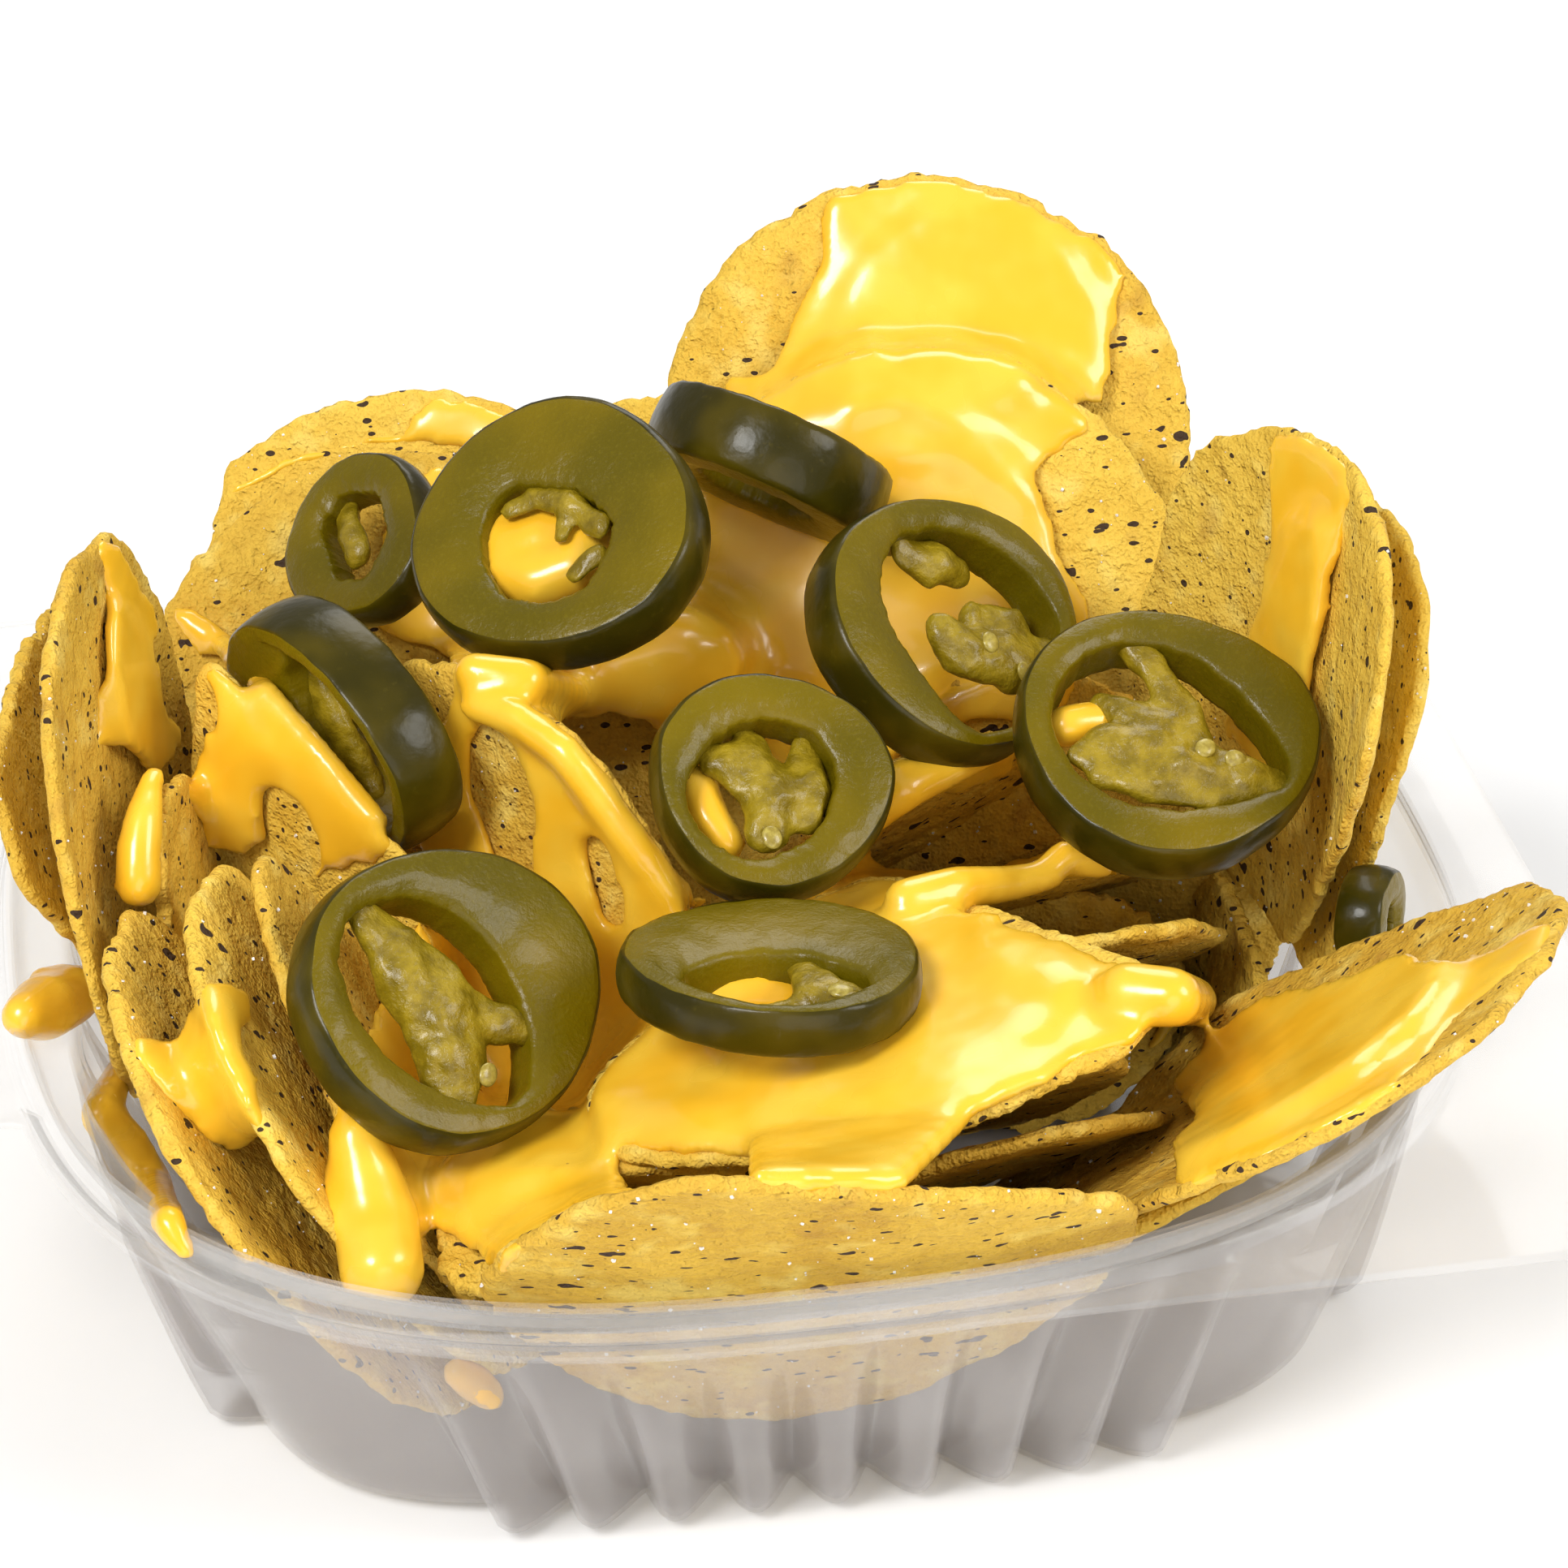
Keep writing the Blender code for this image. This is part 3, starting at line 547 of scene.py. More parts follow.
def pepper_pith():
    """The pale web that carries the seeds."""
    tones = (0.17, 0.115, 0.002), (0.36, 0.25, 0.010)
    f = patchy("jalapeno_pith", (3, 4, 0.6), (0.3, 0.7), tones, (0.25, 0.2))
    f.set(Specular_IOR_Level=0.35, Coat_Weight=0.2, Coat_Roughness=0.12)
    f.set(Normal=f.bump(f.clouds(0.8, 3, 0.6), 0.25))
    return f.material


def pepper_seed():
    tones = (0.28, 0.20, 0.02), (0.48, 0.38, 0.07)
    f = patchy("jalapeno_seed", (0.7, 3, 0.6), (0.3, 0.7), tones, (0.3, 0.1))
    f.set(Normal=f.bump(f.clouds(0.7, 3, 0.6), 0.05), Coat_Weight=0.3)
    return f.material


def salt_grain():
    tones = (0.82, 0.80, 0.76), (0.96, 0.95, 0.93)
    return patchy("salt", (0.4, 2, 0.5), (0.3, 0.7), tones, (0.25, 0.2)).material


def clear_plastic():
    """Thin clear packaging: almost unseen face on, hazy and bright where it turns away; below the rim its wall is
    greyed with painted shade.
    """
    f = Finish("clear_plastic")
    facing = Number(f, f.node("ShaderNodeLayerWeight", None, {"Blend": 0.35}).outputs["Facing"])
    haze = f.clouds(30, 0, 0.5)
    height = Number(f, f.node("ShaderNodeSeparateXYZ", None, {0: f.place_mm}).outputs["Z"])
    # Painted shade: below the rim the wall gets a darker grey tone and more opacity. This stands in partly for
    # the plastic's haze and partly for the shaded heap and floor seen through it.
    wall = 1 - height.rise(WALL_TOP - 3, WALL_TOP + 1)
    tone = f.mix(haze.rise(0.3, 0.7), (0.80, 0.76, 0.71), (0.90, 0.87, 0.83))
    tone = f.mix(wall * 0.9, tone, (0.64, 0.585, 0.56))
    body = (0.05 + haze * 0.08 + wall * 0.10 + (facing ** 2.4) * 0.5).clamped()
    normal = f.bump(f.clouds(7, 0, 0.5), 0.25)
    f.set(Base_Color=tone, Roughness=0.10 + haze * 0.12, Alpha=body, Normal=normal)
    f.set(Specular_IOR_Level=0.9, Coat_Weight=1.0, Coat_Roughness=0.05)
    return f.material


def floor_finish():
    f = Finish("pale_floor")
    patch = f.clouds(200, 2, 0.4)
    f.set(Base_Color=f.mix(patch, (0.95, 0.95, 0.95), (0.97, 0.97, 0.97)), Roughness=0.8)
    return f.material


# ---------------------------------------------------------------- modelling


def deselect_all():
    if bpy.context.object and bpy.context.object.mode != "OBJECT":
        bpy.ops.object.mode_set(mode="OBJECT")
    bpy.ops.object.select_all(action="DESELECT")


def activate(obj):
    deselect_all()
    obj.select_set(True)
    bpy.context.view_layer.objects.active = obj


def vertices(mesh):
    """The vertices of a mesh, one to a row."""
    flat = np.empty(len(mesh.vertices) * 3)
    mesh.vertices.foreach_get("co", flat)
    return flat.reshape(-1, 3)


def move_vertices(mesh, points):
    """Lay the vertices of a mesh at points, in mm."""
    mesh.vertices.foreach_set("co", (points * MM).ravel())
    mesh.update()


def delete_chosen(obj, kind, chosen):
    """Delete the vertices or faces that an array of booleans names."""
    mesh = obj.data
    for elements in (mesh.vertices, mesh.edges, mesh.polygons):
        elements.foreach_set("select", np.zeros(len(elements), bool))
    (mesh.vertices if kind == "VERT" else mesh.polygons).foreach_set("select", chosen)
    activate(obj)
    bpy.ops.object.mode_set(mode="EDIT")
    bpy.ops.mesh.select_mode(type=kind)
    bpy.ops.mesh.delete(type=kind)
    bpy.ops.mesh.select_mode(type="VERT")
    bpy.ops.object.mode_set(mode="OBJECT")


def close_and_face_out(obj, merge=MERGE):
    activate(obj)
    bpy.ops.object.mode_set(mode="EDIT")
    bpy.ops.mesh.select_all(action="SELECT")
    bpy.ops.mesh.remove_doubles(threshold=merge)
    bpy.ops.mesh.normals_make_consistent(inside=False)
    bpy.ops.object.mode_set(mode="OBJECT")


def shaped_grid(name, across, up, place):
    """A grid laid where place(u, v) says, in mm; u and v run from 0 to 1 along its two ways."""
    deselect_all()
    bpy.ops.mesh.primitive_grid_add(x_subdivisions=across, y_subdivisions=up, size=1.0)
    obj = bpy.context.object
    obj.name = obj.data.name = name
    u, v, _ = np.clip(vertices(obj.data) + 0.5, 0, 1).T
    move_vertices(obj.data, place(u, v))
    return obj


def apply_modifier(obj, kind, **settings):
    activate(obj)
    mod = obj.modifiers.new(kind.title(), kind)
    for name, value in settings.items():
        setattr(mod, name, value)
    bpy.ops.object.modifier_apply(modifier=mod.name)


def smooth_shade(obj, angle=40):
    activate(obj)
    bpy.ops.object.shade_smooth_by_angle(angle=math.radians(angle))


def join(objects, name):
    activate(objects[0])
    for obj in objects:
        obj.select_set(True)
    bpy.context.view_layer.objects.active = objects[0]
    bpy.ops.object.join()
    objects[0].name = objects[0].data.name = name
    return objects[0]


def hand_over(obj, slot, material, *nodes):
    """A finished piece: its material, the body that it rides on, its slot (not used) and the solids that it
    replaces.
    """
    if material is not None:
        obj.data.materials.clear()
        obj.data.materials.append(material)
    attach(obj, "root")
    if nodes:
        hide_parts(*nodes)
    return obj


def node_points(name):
    """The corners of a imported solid, in mm."""
    return np.unique((vertices(NODES[name].data) / MM).round(3), axis=0)


def ripple(points, size, seed, octaves):
    """Smooth noise from -1 to 1 at each point, with features about size mm across."""
    shift = Vector((seed * 17.3, seed * -9.1, seed * 5.7))
    values = np.empty(len(points))
    for i, p in enumerate(points):
        values[i] = noise.fractal(Vector(p) / size + shift, 1.0, 2.0, octaves)
    return values


class Disc:
    """The plane, middle, outline and curl of a flat round solid, found from its points."""

    def __init__(self, points):
        self.middle = points.mean(0)
        spread = points - self.middle
        _, _, ways = np.linalg.svd(spread, full_matrices=False)
        normal = ways[2]
        if normal @ np.array([-0.15, -0.6, 0.6]) < 0:
            normal = -normal
        right = np.cross((0.0, 0.0, 1.0), normal)
        right /= np.linalg.norm(right)
        self.right, self.up, self.normal = right, np.cross(normal, right), normal
        local = spread @ np.stack((self.right, self.up, self.normal), 1)
        x, y, z = local.T
        terms = np.stack((np.ones_like(x), x, y, x * x, x * y, y * y), 1)
        self.curl = np.linalg.lstsq(terms, z, rcond=None)[0]
        self.corners = self.hull(local[:, :2])
        self.half = np.ptp(z) / 2

    @staticmethod
    def hull(points):
        order = points[np.lexsort((points[:, 1], points[:, 0]))]

        def chain(run):
            kept = []
            for p in run:
                while len(kept) > 1:
                    a, b = kept[-2], kept[-1]
                    if (b[0] - a[0]) * (p[1] - a[1]) - (b[1] - a[1]) * (p[0] - a[0]) > 1e-3:
                        break
                    kept.pop()
                kept.append(p)
            return kept[:-1]

        return np.array(chain(order) + chain(order[::-1]))

    def height(self, x, y):
        c = self.curl
        return c[0] + c[1] * x + c[2] * y + c[3] * x * x + c[4] * x * y + c[5] * y * y

    def flat(self, point):
        """A point's place in the plane of the disc."""
        return np.array([(point - self.middle) @ self.right, (point - self.middle) @ self.up])

    def place(self, x, y, z):
        return self.middle + np.outer(x, self.right) + np.outer(y, self.up) + np.outer(z, self.normal)


def far_edge(corners, angles):
    """How far an outline of corners lies from the origin in each direction."""
    far = np.full(len(angles), FAR_AWAY)
    ways = np.stack((np.cos(angles), np.sin(angles)), 1)
    for p, q in zip(corners, np.roll(corners, -1, 0)):
        edge = q - p
        across = ways[:, 0] * edge[1] - ways[:, 1] * edge[0]
        across = np.where(np.abs(across) < 1e-9, 1e-9, across)
        run = (p[0] * edge[1] - p[1] * edge[0]) / across
        part = (p[0] * ways[:, 1] - p[1] * ways[:, 0]) / across
        far = np.where((run > 0) & (run < far) & (part > -1e-6) & (part < 1 + 1e-6), run, far)
    return far


def around(values, width):
    """A ring of values, each averaged with its neighbours."""
    total = sum(np.roll(values, k) for k in range(-width, width + 1))
    return total / (2 * width + 1)


def tortilla_chip(name, disc, material, seed, lean=0.0):
    """A fried disc with bubbled faces and a ragged, nicked edge; its foot leans forward by lean."""
    angles = np.linspace(0, 2 * math.pi, CHIP_STEPS, endpoint=False)
    outline = around(far_edge(disc.corners, angles), 3) * CHIP_OVERSIZE
    ring = np.stack((np.cos(angles), np.sin(angles), 0 * angles), 1) * CHIP_RADIUS
    for height, size, start, octaves in CHIP_EDGE_WAVES:
        outline += height * ripple(ring, size, seed + start, octaves)
    depth, size, start, least = CHIP_NICKS
    outline -= depth * np.clip(ripple(ring, size, seed + start, 2) - least, 0, 1)
    outline = np.append(outline, outline[0])
    steps = np.linspace(0, 2 * math.pi, CHIP_STEPS + 1)
    half = CHIP_THICKNESS / 2
    face = np.linspace(0, 1, CHIP_ROWS)
    far = [0.0] + list(1 - (1 - face[1:-1]) ** 1.15)
    profile = [(share, 1.0) for share in far] + list(CHIP_EDGE) + [(share, -1.0) for share in reversed(far)]
    shares, levels = np.array(profile).T
    rows = np.linspace(0, 1, len(shares))

    def place(u, v):
        angle = u * 2 * math.pi
        share, level = np.interp(v, rows, shares), np.interp(v, rows, levels)
        radius = share * np.interp(angle, steps, outline)
        x, y = radius * np.cos(angle), radius * np.sin(angle)
        flat = np.stack((x, y, 0 * x), 1)
        height, size, start, octaves = CHIP_WARP
        warp = height * ripple(flat, size, seed + start, octaves)
        sides = flat + np.outer(np.sign(level) * CHIP_SIDES_APART, (0, 0, 1))
        bubble = sum(h * ripple(sides, wide, seed + first, n) for h, wide, first, n in CHIP_BUBBLES)
        height, size, start, least = CHIP_BLISTERS
        blister = height * np.clip(ripple(sides, size, seed + start, 1) - least, 0, 1) * (share < 0.95)
        z = disc.height(x, y) + warp + level * (half + bubble + blister)
        z += lean * (np.clip(-y, 0, None) / CHIP_RADIUS) ** 2
        return disc.place(x, y, z)

    chip = shaped_grid("tortilla_" + name[5:], CHIP_STEPS, len(shares) - 1, place)
    close_and_face_out(chip)
    smooth_shade(chip, 50)
    return hand_over(chip, "tortilla_chip", material, *([name] if name in NODES else []))


def deep_disc(middle, azimuth, elevation, radius):
    """The disc of a chip deep in the heap, facing the given way."""
    right, up, normal = ways_of(azimuth, elevation)
    angles = np.linspace(0, 2 * math.pi, 48, endpoint=False)
    ring = np.outer(np.cos(angles), right) + np.outer(np.sin(angles), up)
    faces = [np.array(middle) + radius * ring + side * CHIP_THICKNESS / 2 * normal for side in (-1, 1)]
    return Disc(np.concatenate(faces))


def squircle(angle, half, power):
    c, s = np.cos(angle), np.sin(angle)
    size = (np.abs(c / half[0]) ** power + np.abs(s / half[1]) ** power) ** (-1 / power)
    return size * c, size * s


def rib_wave(x, y):
    """Rounded ribs, 1 at a crest, on the straight run of each side."""
    along = np.where(np.abs(x) / BASE_HALF[0] > np.abs(y) / BASE_HALF[1], y, x)
    wave = 0.5 + 0.5 * np.cos(2 * math.pi * along / RIB_PITCH)
    run = RIBS_ON_A_SIDE * RIB_PITCH / 2
    return wave ** 0.8 * np.clip((run - np.abs(along)) / 1.5 + 0.5, 0, 1)


def tray():
    """A thermoformed tray: ribbed sloping wall, rounded foot, stepped rim and a flat flange for its lid."""
    angles = np.linspace(-math.pi, math.pi, TRAY_STEPS + 1)

    def wall(height, tuck=0.0):
        t = height / WALL_TOP
        half = [b + t * (top - b) - tuck for b, top in zip(BASE_HALF, WALL_TOP_HALF)]
        power = BASE_SQUARENESS + t * (WALL_TOP_SQUARENESS - BASE_SQUARENESS)
        x, y = squircle(angles, half, power)
        base_x, base_y = squircle(angles, BASE_HALF, BASE_SQUARENESS)
        depth = RIB_DEPTH * np.interp(height, RIB_HEIGHTS, RIB_SHARES) * (1 - tuck / 12)
        out = 1 + depth * rib_wave(base_x, base_y) / np.hypot(x, y)
        return np.stack((x * out + BASE_SHIFT * (1 - t), y * out, 0 * x + height), 1)

    def rim(extra, height):
        x, y = squircle(angles, [h + extra for h in RIM_HALF], RIM_SQUARENESS)
        return np.stack((x, y, 0 * x + height), 1)

    def flange(extra, height):
        x, y = squircle(angles, RIM_HALF, RIM_SQUARENESS)
        narrow = 1 + (BEAD_WIDTH + LIP_WIDTH) / np.hypot(x, y)
        wide = 1 / np.maximum(np.abs(x) / FLANGE_HALF[0], np.abs(y) / FLANGE_HALF[1])
        begin = np.clip((y - LEFT_FLANGE_START) / 5 + 1, 0, 1)
        share = np.where(x < 0, begin, 1.0)
        reach = narrow + share * (np.maximum(narrow, wide) - narrow)
        reach = 1 + (reach - 1) * extra
        return np.stack((x * reach, y * reach, 0 * x + height), 1)

    def floor_ring(share):
        x, y = squircle(angles, BASE_HALF, BASE_SQUARENESS)
        rise = 1.2 if share < 0.86 else 0.5
        return np.stack((x * share + BASE_SHIFT, y * share, 0 * x + rise), 1)

    rings = [floor_ring(share) for share in (0.0, 0.4, 0.8, 0.87, 0.94)]
    rings += [wall(*spot) for spot in FOOT_PROFILE]
    rings += [wall(height) for height in WALL_HEIGHTS]
    rings += [rim(extra, height) for extra, height in RIM_PROFILE]
    rings += [flange(share, height) for share, height in FLANGE_PROFILE]
    table = np.array(rings)

    def place(u, v):
        column = np.clip((u * TRAY_STEPS).round().astype(int), 0, TRAY_STEPS)
        row = np.clip((v * (len(rings) - 1)).round().astype(int), 0, len(rings) - 1)
        return table[row, column]

    obj = shaped_grid("ribbed_tray", TRAY_STEPS, len(rings) - 1, place)
    close_and_face_out(obj)
    apply_modifier(obj, "SOLIDIFY", thickness=TRAY_WALL * MM, offset=-1.0)
    smooth_shade(obj, 35)
    return hand_over(obj, "clear_plastic", clear_plastic(), "tray")


def sight(r, u):
    """Unit direction of the line of sight through r mm right and u mm above the target."""
    way = np.array(CAMERA_TARGET) + r * RIGHT + u * UP - LENS
    return way / np.linalg.norm(way)


def on_disc(disc, r, u, depth):
    """Where the line of sight through (r, u) crosses the plane depth mm in front of a disc's middle."""
    way = sight(r, u)
    far = ((disc.middle - LENS) @ disc.normal + depth) / (way @ disc.normal)
    return LENS + far * way


def tree_of(objects):
    """A tree of the faces of all the objects, in mm."""
    points, faces, base = [], [], 0
    for obj in objects:
        mesh = obj.data
        points.append(vertices(mesh) / MM)
        faces += [[base + i for i in p.vertices] for p in mesh.polygons]
        base += len(mesh.vertices)
    return BVHTree.FromPolygons(np.concatenate(points).tolist(), faces)


def nearness(tree, r, u):
    """How near the lens the first thing on each line of sight lies, in mm from its far end, or EMPTY."""
    near = np.full(r.shape, EMPTY)
    start = Vector(LENS)
    for i in np.ndindex(r.shape):
        hit = tree.ray_cast(start, Vector(sight(r[i], u[i])), 2 * CAMERA_DISTANCE)
        if hit[0] is not None:
            near[i] = 2 * CAMERA_DISTANCE - hit[3]
    return near


def far_from(a, b, r, u):
    """Distance in mm from each point to the straight run from a to b."""
    edge = b - a
    t = np.clip(((r - a[0]) * edge[0] + (u - a[1]) * edge[1]) / (edge @ edge), 0, 1)
    return np.hypot(r - a[0] - t * edge[0], u - a[1] - t * edge[1])


def inside_by(polygon, r, u):
    """Distance in mm from each point to the edge of a polygon, negative outside it."""
    corners = np.array(polygon, float)
    far, inside = np.full(r.shape, FAR_AWAY), np.zeros(r.shape, bool)
    for a, b in zip(corners, np.roll(corners, -1, 0)):
        far = np.minimum(far, far_from(a, b, r, u))
        slope = (b[0] - a[0]) / ((b[1] - a[1]) or 1e-9)
        inside ^= ((a[1] > u) != (b[1] > u)) & (r < a[0] + (u - a[1]) * slope)
    return np.where(inside, far, -far)


def along_by(path, width, r, u):
    """Distance in mm inside a stroke of the given half width drawn along a path."""
    path = np.array(path, float)
    return width - np.min([far_from(a, b, r, u) for a, b in zip(path[:-1], path[1:])], axis=0)


def rounded(distance, width):
    """A quarter round: 0 at the edge, 1 from width inwards."""
    t = 1 - np.clip(distance / width, 0, 1)
    return np.sqrt(1 - t * t)


def soft_mean(values, mask, jump):
    """The mean of each cell's neighbours in the mask, without those across a step deeper than its jump."""
    total, count = np.zeros_like(values), np.zeros_like(values)
    for axis in (0, 1):
        for way in (1, -1):
            other, there = np.roll(values, way, axis), np.roll(mask, way, axis)
            near = there & (np.abs(other - values) < jump)
            total += np.where(near, other, 0)
            count += near
    return np.where(count > 0, total / np.maximum(count, 1), values)


def ball(place, radius, stretch=(1, 1, 1)):
    deselect_all()
    bpy.ops.mesh.primitive_ico_sphere_add(subdivisions=3, radius=1.0)
    obj = bpy.context.object
    move_vertices(obj.data, vertices(obj.data) * radius * np.array(stretch) + place)
    return obj


def run_of_balls(path, close=0.45):
    """Balls close together along a path of (place, radius) pairs."""
    made = []
    for (a, ra), (b, rb) in zip(path[:-1], path[1:]):
        steps = max(1, int(np.linalg.norm(b - a) / (close * min(ra, rb))))
        made += [ball(a + (b - a) * k / steps, ra + (rb - ra) * k / steps) for k in range(steps)]
    made.append(ball(*path[-1]))
    return made


def poured(r, u):
    """How far inside the sauce each point lies (0 at an edge), and the sauce's depth and greatest step."""
    flat = np.stack((r.ravel(), u.ravel(), 0 * r.ravel()), 1)
    waves = [height * ripple(flat, size, seed, 2).reshape(r.shape) for height, size, seed in SAUCE_WAVES]
    r, u = r + waves[0], u + waves[1]
    inside, thick = np.full(r.shape, -FAR_AWAY), np.zeros(r.shape)
    for shape, depth, edge in SAUCE_AREAS:
        d = inside_by(shape, r, u)
        inside = np.maximum(inside, d / edge)
        thick = np.maximum(thick, depth * rounded(d, 2 * edge))
    for path, width, depth in SAUCE_RIDGES:
        d = along_by(path, width, r, u)
        inside = np.maximum(inside, d / width)
        thick = np.maximum(thick, depth * rounded(d, width))
    for shape in SAUCE_HOLES:
        inside = np.minimum(inside, -inside_by(shape, r, u) / HOLE_EDGE)
    height, size, seed = SAUCE_LUMPS
    thick = thick * (1 + height * ripple(flat, size, seed, 2).reshape(r.shape))
    jump = np.full(r.shape, SAUCE_JUMP)
    for shape in SAUCE_JOINS:
        jump = np.where(inside_by(shape, r, u) > 0, JOINED_JUMP, jump)
    return inside, thick, jump


def settled(under, peppers, inside, thick, jump):
    """The surface of the sauce, as a nearness, and the mask of where it lies."""
    mask = (inside > 0) & (under > EMPTY + 1)
    surface = under + thick
    first = surface.copy()
    for _ in range(SAUCE_SETTLING):
        calm = SAUCE_PULL * first + (1 - SAUCE_PULL) * soft_mean(surface, mask, jump)
        surface = np.where(mask, np.maximum(calm, under + SAUCE_LEAST * thick), surface)
    surface = np.where(peppers > under - 2, np.minimum(surface, peppers - SAUCE_GAP), surface)
    surface -= (1 - rounded(inside, 1.0)) * (thick + SAUCE_EDGE)
    for axis in (0, 1):
        for way in (1, -1):
            beside = np.roll(surface, way, axis)
            mask &= ~((np.abs(beside - surface) > jump) & (beside > surface))
    return surface, mask


def sauce_skin(r, u, surface, mask, jump):
    """A sheet over the masked part of the surface, torn where its steps are too great."""
    ways = np.array([sight(a, b) for a, b in zip(r.ravel(), u.ravel())])
    table = LENS + ways * (2 * CAMERA_DISTANCE - surface.ravel())[:, None]
    columns, rows = r.shape
    cells = []

    def place(a, b):
        i = (a * (columns - 1)).round().astype(int)
        j = (b * (rows - 1)).round().astype(int)
        cells.append(i * rows + j)
        return table[cells[0]]

    skin = shaped_grid("sauce_skin", columns - 1, rows - 1, place)
    kept = mask.ravel()[cells[0]]
    delete_chosen(skin, "VERT", ~kept)
    left = cells[0][kept]
    level, limit = surface.ravel()[left], jump.ravel()[left]
    corners = np.array([list(face.vertices) for face in skin.data.polygons])
    delete_chosen(skin, "FACE", np.ptp(level[corners], axis=1) > limit[corners].max(1))
    apply_modifier(skin, "SOLIDIFY", thickness=SAUCE_SKIN * MM, offset=-1.0)
    return skin


def sauce(chips):
    """Cheese sauce poured over the heap: one skin over everything that it covers, with drips and drops."""
    r_line = np.arange(*SAUCE_ACROSS, SAUCE_STEP)
    u_line = np.arange(*SAUCE_UP, SAUCE_STEP)
    r, u = np.meshgrid(r_line, u_line, indexing="ij")
    under = nearness(tree_of(chips + [NODES[n] for n in SAUCES]), r, u)
    peppers = nearness(tree_of([NODES[n] for n in PEPPERS]), r, u)
    inside, thick, jump = poured(r, u)
    surface, mask = settled(under, peppers, inside, thick, jump)

    def on(a, b, lift):
        i = int(round((a - r_line[0]) / SAUCE_STEP))
        j = int(round((b - u_line[0]) / SAUCE_STEP))
        near = (slice(max(i - 2, 0), i + 3), slice(max(j - 2, 0), j + 3))
        level = max(under[near].max(), surface[near][mask[near]].max() if mask[near].any() else EMPTY)
        return LENS + sight(a, b) * (2 * CAMERA_DISTANCE - level - lift)

    wall = tree_of([NODES["tray"]])

    def on_wall(a, b, lift):
        near = nearness(wall, np.array([a]), np.array([b]))[0]
        return LENS + sight(a, b) * (2 * CAMERA_DISTANCE - near - lift)

    parts = [sauce_skin(r, u, surface, mask, jump)]
    for drip in SAUCE_DRIPS:
        parts += run_of_balls([(on(a, b, lift), size) for a, b, size, lift in drip])
    for strand in zip(*(np.linspace(*edge, CURTAIN_RUNS) for edge in CURTAIN)):
        parts += run_of_balls([(on(*end, -CURTAIN_RADIUS), CURTAIN_RADIUS) for end in strand], 0.8)
    for drip in WALL_DRIPS:
        parts += run_of_balls([(on_wall(a, b, lift), size) for a, b, size, lift in drip])
    for name, cut in SLICES.items():
        if cut.sauce:
            disc = Disc(node_points(name))
            parts += run_of_balls([(on_disc(disc, a, b, depth), size) for a, b, size, depth in cut.sauce])
    obj = join(parts, "cheese_sauce")
    apply_modifier(obj, "REMESH", mode="VOXEL", voxel_size=SAUCE_VOXEL * MM, use_smooth_shade=True)
    apply_modifier(obj, "SMOOTH", factor=0.5, iterations=10)
    close_and_face_out(obj, FINE_MERGE)
    hand_over(obj, "cheese_sauce", cheese_sauce(), *SAUCES)
    return r, u, under, mask, peppers


def slice_ring(disc, hole, seed):
    """The ring of a slice: a closed grid from its skin over its face and through its hole, and its rows."""
    half = disc.half
    angles = np.linspace(0, 2 * math.pi, PEPPER_STEPS, endpoint=False)
    ring = np.stack((np.cos(angles), np.sin(angles), 0 * angles), 1)
    outline = around(far_edge(disc.corners, angles), 5) * 1.005 + 0.25 * ripple(ring * 16, 9, seed, 2)
    if isinstance(hole, float):
        mouth, middle = ring[:, :2] * hole * outline.mean(), np.zeros(2)
    else:
        mouth = np.array([disc.flat(on_disc(disc, r, u, half)) for r, u in hole])
        middle = mouth.mean(0)
    inner = around(far_edge(mouth - middle, angles), 3) + 0.3 * ripple(ring * 16, 2.4, seed + 9, 3)
    inner = np.minimum(inner, far_edge(outline[:, None] * ring[:, :2] - middle, angles) - LEAST_RING)
    shift_x, shift_y = middle
    steps = np.append(angles, 2 * math.pi)
    outline, inner = np.append(outline, outline[0]), np.append(inner, inner[0])
    back = [(t, -level) for t, level in reversed(PEPPER_SKIN[-2:] + PEPPER_FACE)]
    rows = [*PEPPER_SKIN, *PEPPER_FACE, *PEPPER_HOLE, *back, PEPPER_SKIN[0]]
    table = np.array(rows)
    count = len(rows) - 1

    def place(u, v):
        angle, row = u * 2 * math.pi, v * count
        t, level = (np.interp(row, range(count + 1), column) for column in table.T)
        outer = np.interp(angle, steps, outline) + 0.55 * (1 - level ** 2) * (t < 0.02)
        inside = np.interp(angle, steps, inner)
        ox, oy = outer * np.cos(angle), outer * np.sin(angle)
        ix, iy = inside * np.cos(angle) + shift_x, inside * np.sin(angle) + shift_y
        x, y = ox + (ix - ox) * t, oy + (iy - oy) * t
        dome = 0.35 * np.sin(math.pi * np.clip(t, 0, 1)) * np.sign(level)
        flat = np.stack((x, y, level * 20), 1)
        sunk = 0.9 * np.clip(t - 0.6, 0, 1) * np.sign(level)
        return disc.place(x, y, level * half + dome + 0.16 * ripple(flat, 3, seed + 13, 3) - sunk)

    return shaped_grid("jalapeno_slice", PEPPER_STEPS, count, place), count


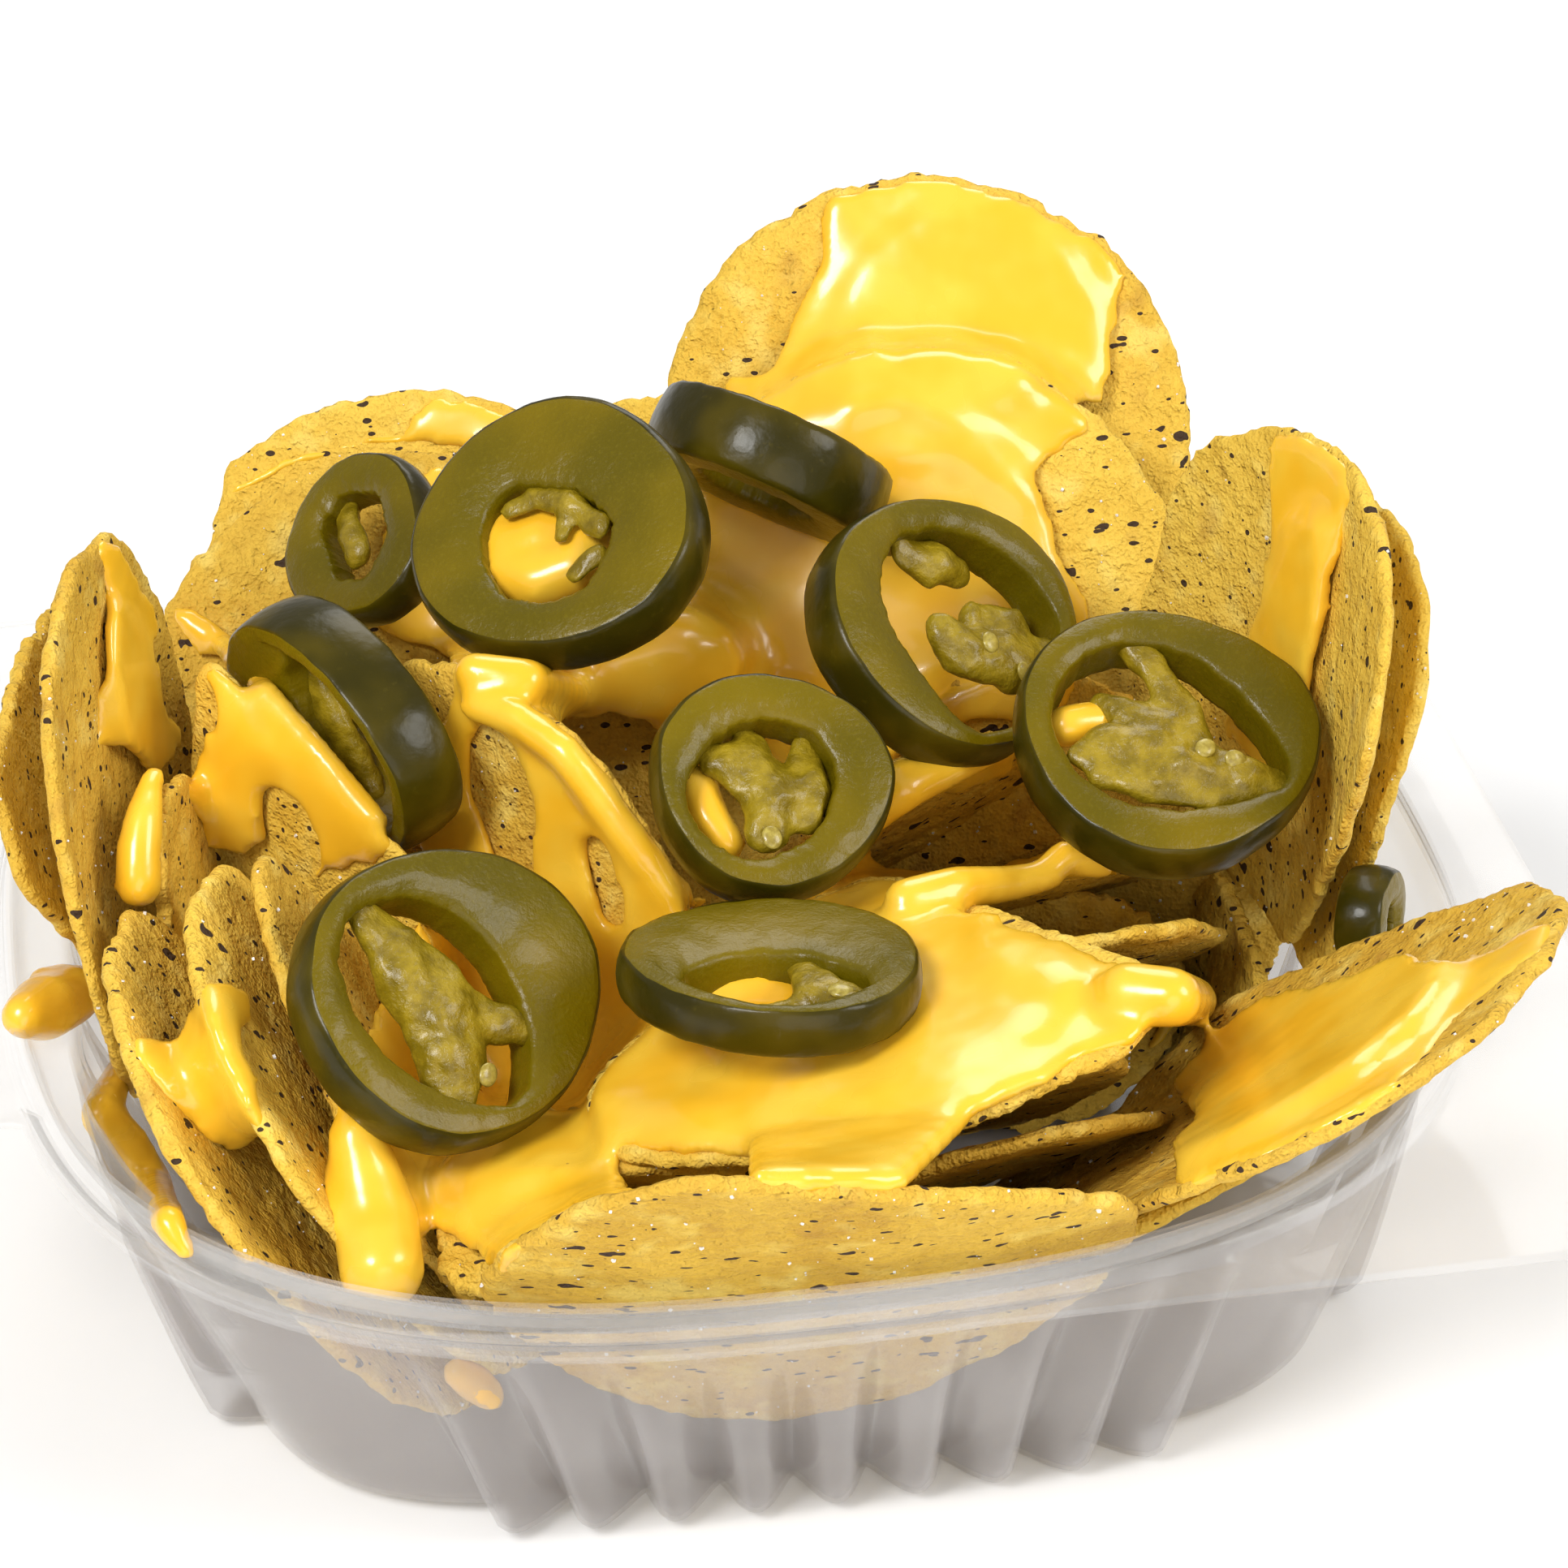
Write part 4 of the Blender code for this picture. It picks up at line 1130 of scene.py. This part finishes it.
def pepper(name, cut, seed, looks):
    """A pickled slice: glossy skin round a thick wall, a hollow of its own shape, web and seeds within."""
    pith_mat, seed_mat = looks[2:]
    disc = Disc(node_points(name))
    half = disc.half
    body, count = slice_ring(disc, cut.hole, seed)
    for mat in looks:
        body.data.materials.append(mat)
    # The grid's faces run along u within each row of v.
    slots = np.repeat(np.arange(count), PEPPER_STEPS)
    outer_rows = (slots < len(PEPPER_SKIN) - 1) | (slots >= count - 2)
    body.data.polygons.foreach_set("material_index", np.where(outer_rows, 0, 1))
    close_and_face_out(body)
    smooth_shade(body, 60)
    parts = [body]
    if cut.webs:
        lumps = []
        for strand in cut.webs:
            spots = [(on_disc(disc, r, u, level * half), size) for r, u, size, level in strand]
            lumps += run_of_balls(spots, 0.6)
        web = join(lumps, "web")
        apply_modifier(web, "REMESH", mode="VOXEL", voxel_size=PEPPER_VOXEL * MM)
        points = vertices(web.data) / MM
        points -= np.outer((points - disc.middle) @ disc.normal * WEB_FLATTENING, disc.normal)
        for way, (depth, *wave) in zip((disc.normal, disc.right, disc.up), WEB_WAVES):
            points += np.outer(depth * ripple(points, wave[0], seed + wave[1], wave[2]), way)
        move_vertices(web.data, points)
        web.data.materials.clear()
        web.data.materials.append(pith_mat)
        apply_modifier(web, "SMOOTH", factor=0.5, iterations=3)
        smooth_shade(web, 60)
        parts.append(web)
    chance = random.Random(seed)
    for r, u, level in cut.seeds:
        spot = on_disc(disc, r, u, level * half)
        pip = ball(np.zeros(3), SEED_RADIUS, SEED_SHAPE)
        tip = Matrix.Rotation(chance.uniform(-0.7, 0.7), 3, "X")
        turn = Matrix.Rotation(chance.uniform(0, 6.28), 3, "Z")
        ways = Matrix((disc.right, disc.up, disc.normal)).transposed()
        pip.data.transform((ways @ tip @ turn).to_4x4())
        pip.data.transform(Matrix.Translation(Vector(spot) * MM))
        pip.data.materials.append(seed_mat)
        smooth_shade(pip, 60)
        parts.append(pip)
    obj = join(parts, name.replace("jalapeno", "pepper_slice"))
    return hand_over(obj, "jalapeno_flesh", None, name)


def salt(chips, seen):
    """Crystals lying on the bare faces of the chips."""
    r, u, under, mask, peppers = seen
    chance = random.Random(5)
    tree = tree_of(chips)
    bare = np.argwhere((under > EMPTY + 1) & ~mask & (peppers < under))
    points, faces = [], []
    corners = np.array(SALT_CORNERS, float)
    for _ in range(SALT_GRAINS):
        i, j = bare[chance.randrange(len(bare))]
        way = Vector(sight(r[i, j] + chance.random(), u[i, j] + chance.random()))
        spot, normal, *_ = tree.ray_cast(Vector(LENS), way, 2 * CAMERA_DISTANCE)
        if spot is None:
            continue
        size = 0.06 + 0.14 * chance.random() ** 3
        turn = Vector([chance.gauss(0, 1) for _ in range(3)]).normalized()
        spin = np.array(Matrix.Rotation(chance.uniform(0, 3), 3, turn))
        shape = corners * size * np.array([1, chance.uniform(0.7, 1), chance.uniform(0.5, 1)])
        base = len(points)
        points += ((shape @ spin.T + np.array(spot) + np.array(normal) * size * 0.4) * MM).tolist()
        faces += [[base + k for k in side] for side in SALT_SIDES]
    mesh = bpy.data.meshes.new("salt_crystals")
    mesh.from_pydata(points, [], faces)
    obj = bpy.data.objects.new("salt_crystals", mesh)
    bpy.context.scene.collection.objects.link(obj)
    return hand_over(obj, "tortilla_chip", salt_grain())


def studio():
    """Camera, floor, lamps and the pale surroundings."""
    data = bpy.data.cameras.new("camera")
    data.sensor_width, data.lens = SENSOR, CAMERA_LENS
    camera = bpy.data.objects.new("camera", data)
    camera.location = Vector(LENS) * MM
    camera.rotation_euler = Vector(BACK).to_track_quat("Z", "Y").to_euler()
    bpy.context.scene.collection.objects.link(camera)
    bpy.context.scene.camera = camera

    deselect_all()
    bpy.ops.mesh.primitive_plane_add(size=6.0, location=(0, 0, -0.0005))
    floor = bpy.context.object
    floor.name = "floor"
    floor.data.materials.append(floor_finish())

    for name, place, size, power in LAMPS:
        lamp = bpy.data.lights.new(name, "AREA")
        lamp.shape, lamp.size, lamp.energy = "DISK", size, power
        obj = bpy.data.objects.new(name, lamp)
        obj.location = place
        obj.rotation_euler = (Vector(place) - Vector(LAMP_TARGET)).to_track_quat("Z", "Y").to_euler()
        bpy.context.scene.collection.objects.link(obj)

    world = bpy.data.worlds.new("surroundings")
    bpy.context.scene.world = world
    world.use_nodes = True
    sky = world.node_tree.nodes["Background"].inputs
    sky["Color"].default_value = (1.0, 1.0, 1.0, 1.0)
    sky["Strength"].default_value = SURROUNDINGS
    bpy.context.scene.view_settings.view_transform = "Standard"
    cycles = bpy.context.scene.cycles
    cycles.max_bounces, cycles.diffuse_bounces, cycles.glossy_bounces = 4, 2, 2
    cycles.transparent_max_bounces = 6


def build():
    studio()
    tray()
    blends = [
        tortilla("tortilla_light", (0.90, 0.60, 0.085), (0.74, 0.45, 0.045), 3.0),
        tortilla("tortilla_gold", (0.88, 0.57, 0.075), (0.68, 0.40, 0.038), 41.0),
        tortilla("tortilla_toasted", (0.84, 0.53, 0.065), (0.62, 0.35, 0.032), 97.0),
    ]
    chips = []
    for i, name in enumerate(CHIPS):
        lean = FRONT_CHIP_LEAN if name == "chip_front" else 0.0
        chips.append(tortilla_chip(name, Disc(node_points(name)), blends[i % 3], i + 1, lean))
    for i, (name, spot) in enumerate(DEEP_CHIPS.items()):
        chips.append(tortilla_chip(name, deep_disc(*spot), blends[2], i + 61))
    seen = sauce(chips)
    looks = (pepper_skin(), pepper_flesh(), pepper_pith(), pepper_seed())
    for i, (name, cut) in enumerate(SLICES.items()):
        pepper(name, cut, i + 31, looks)
    salt(chips, seen)


build()
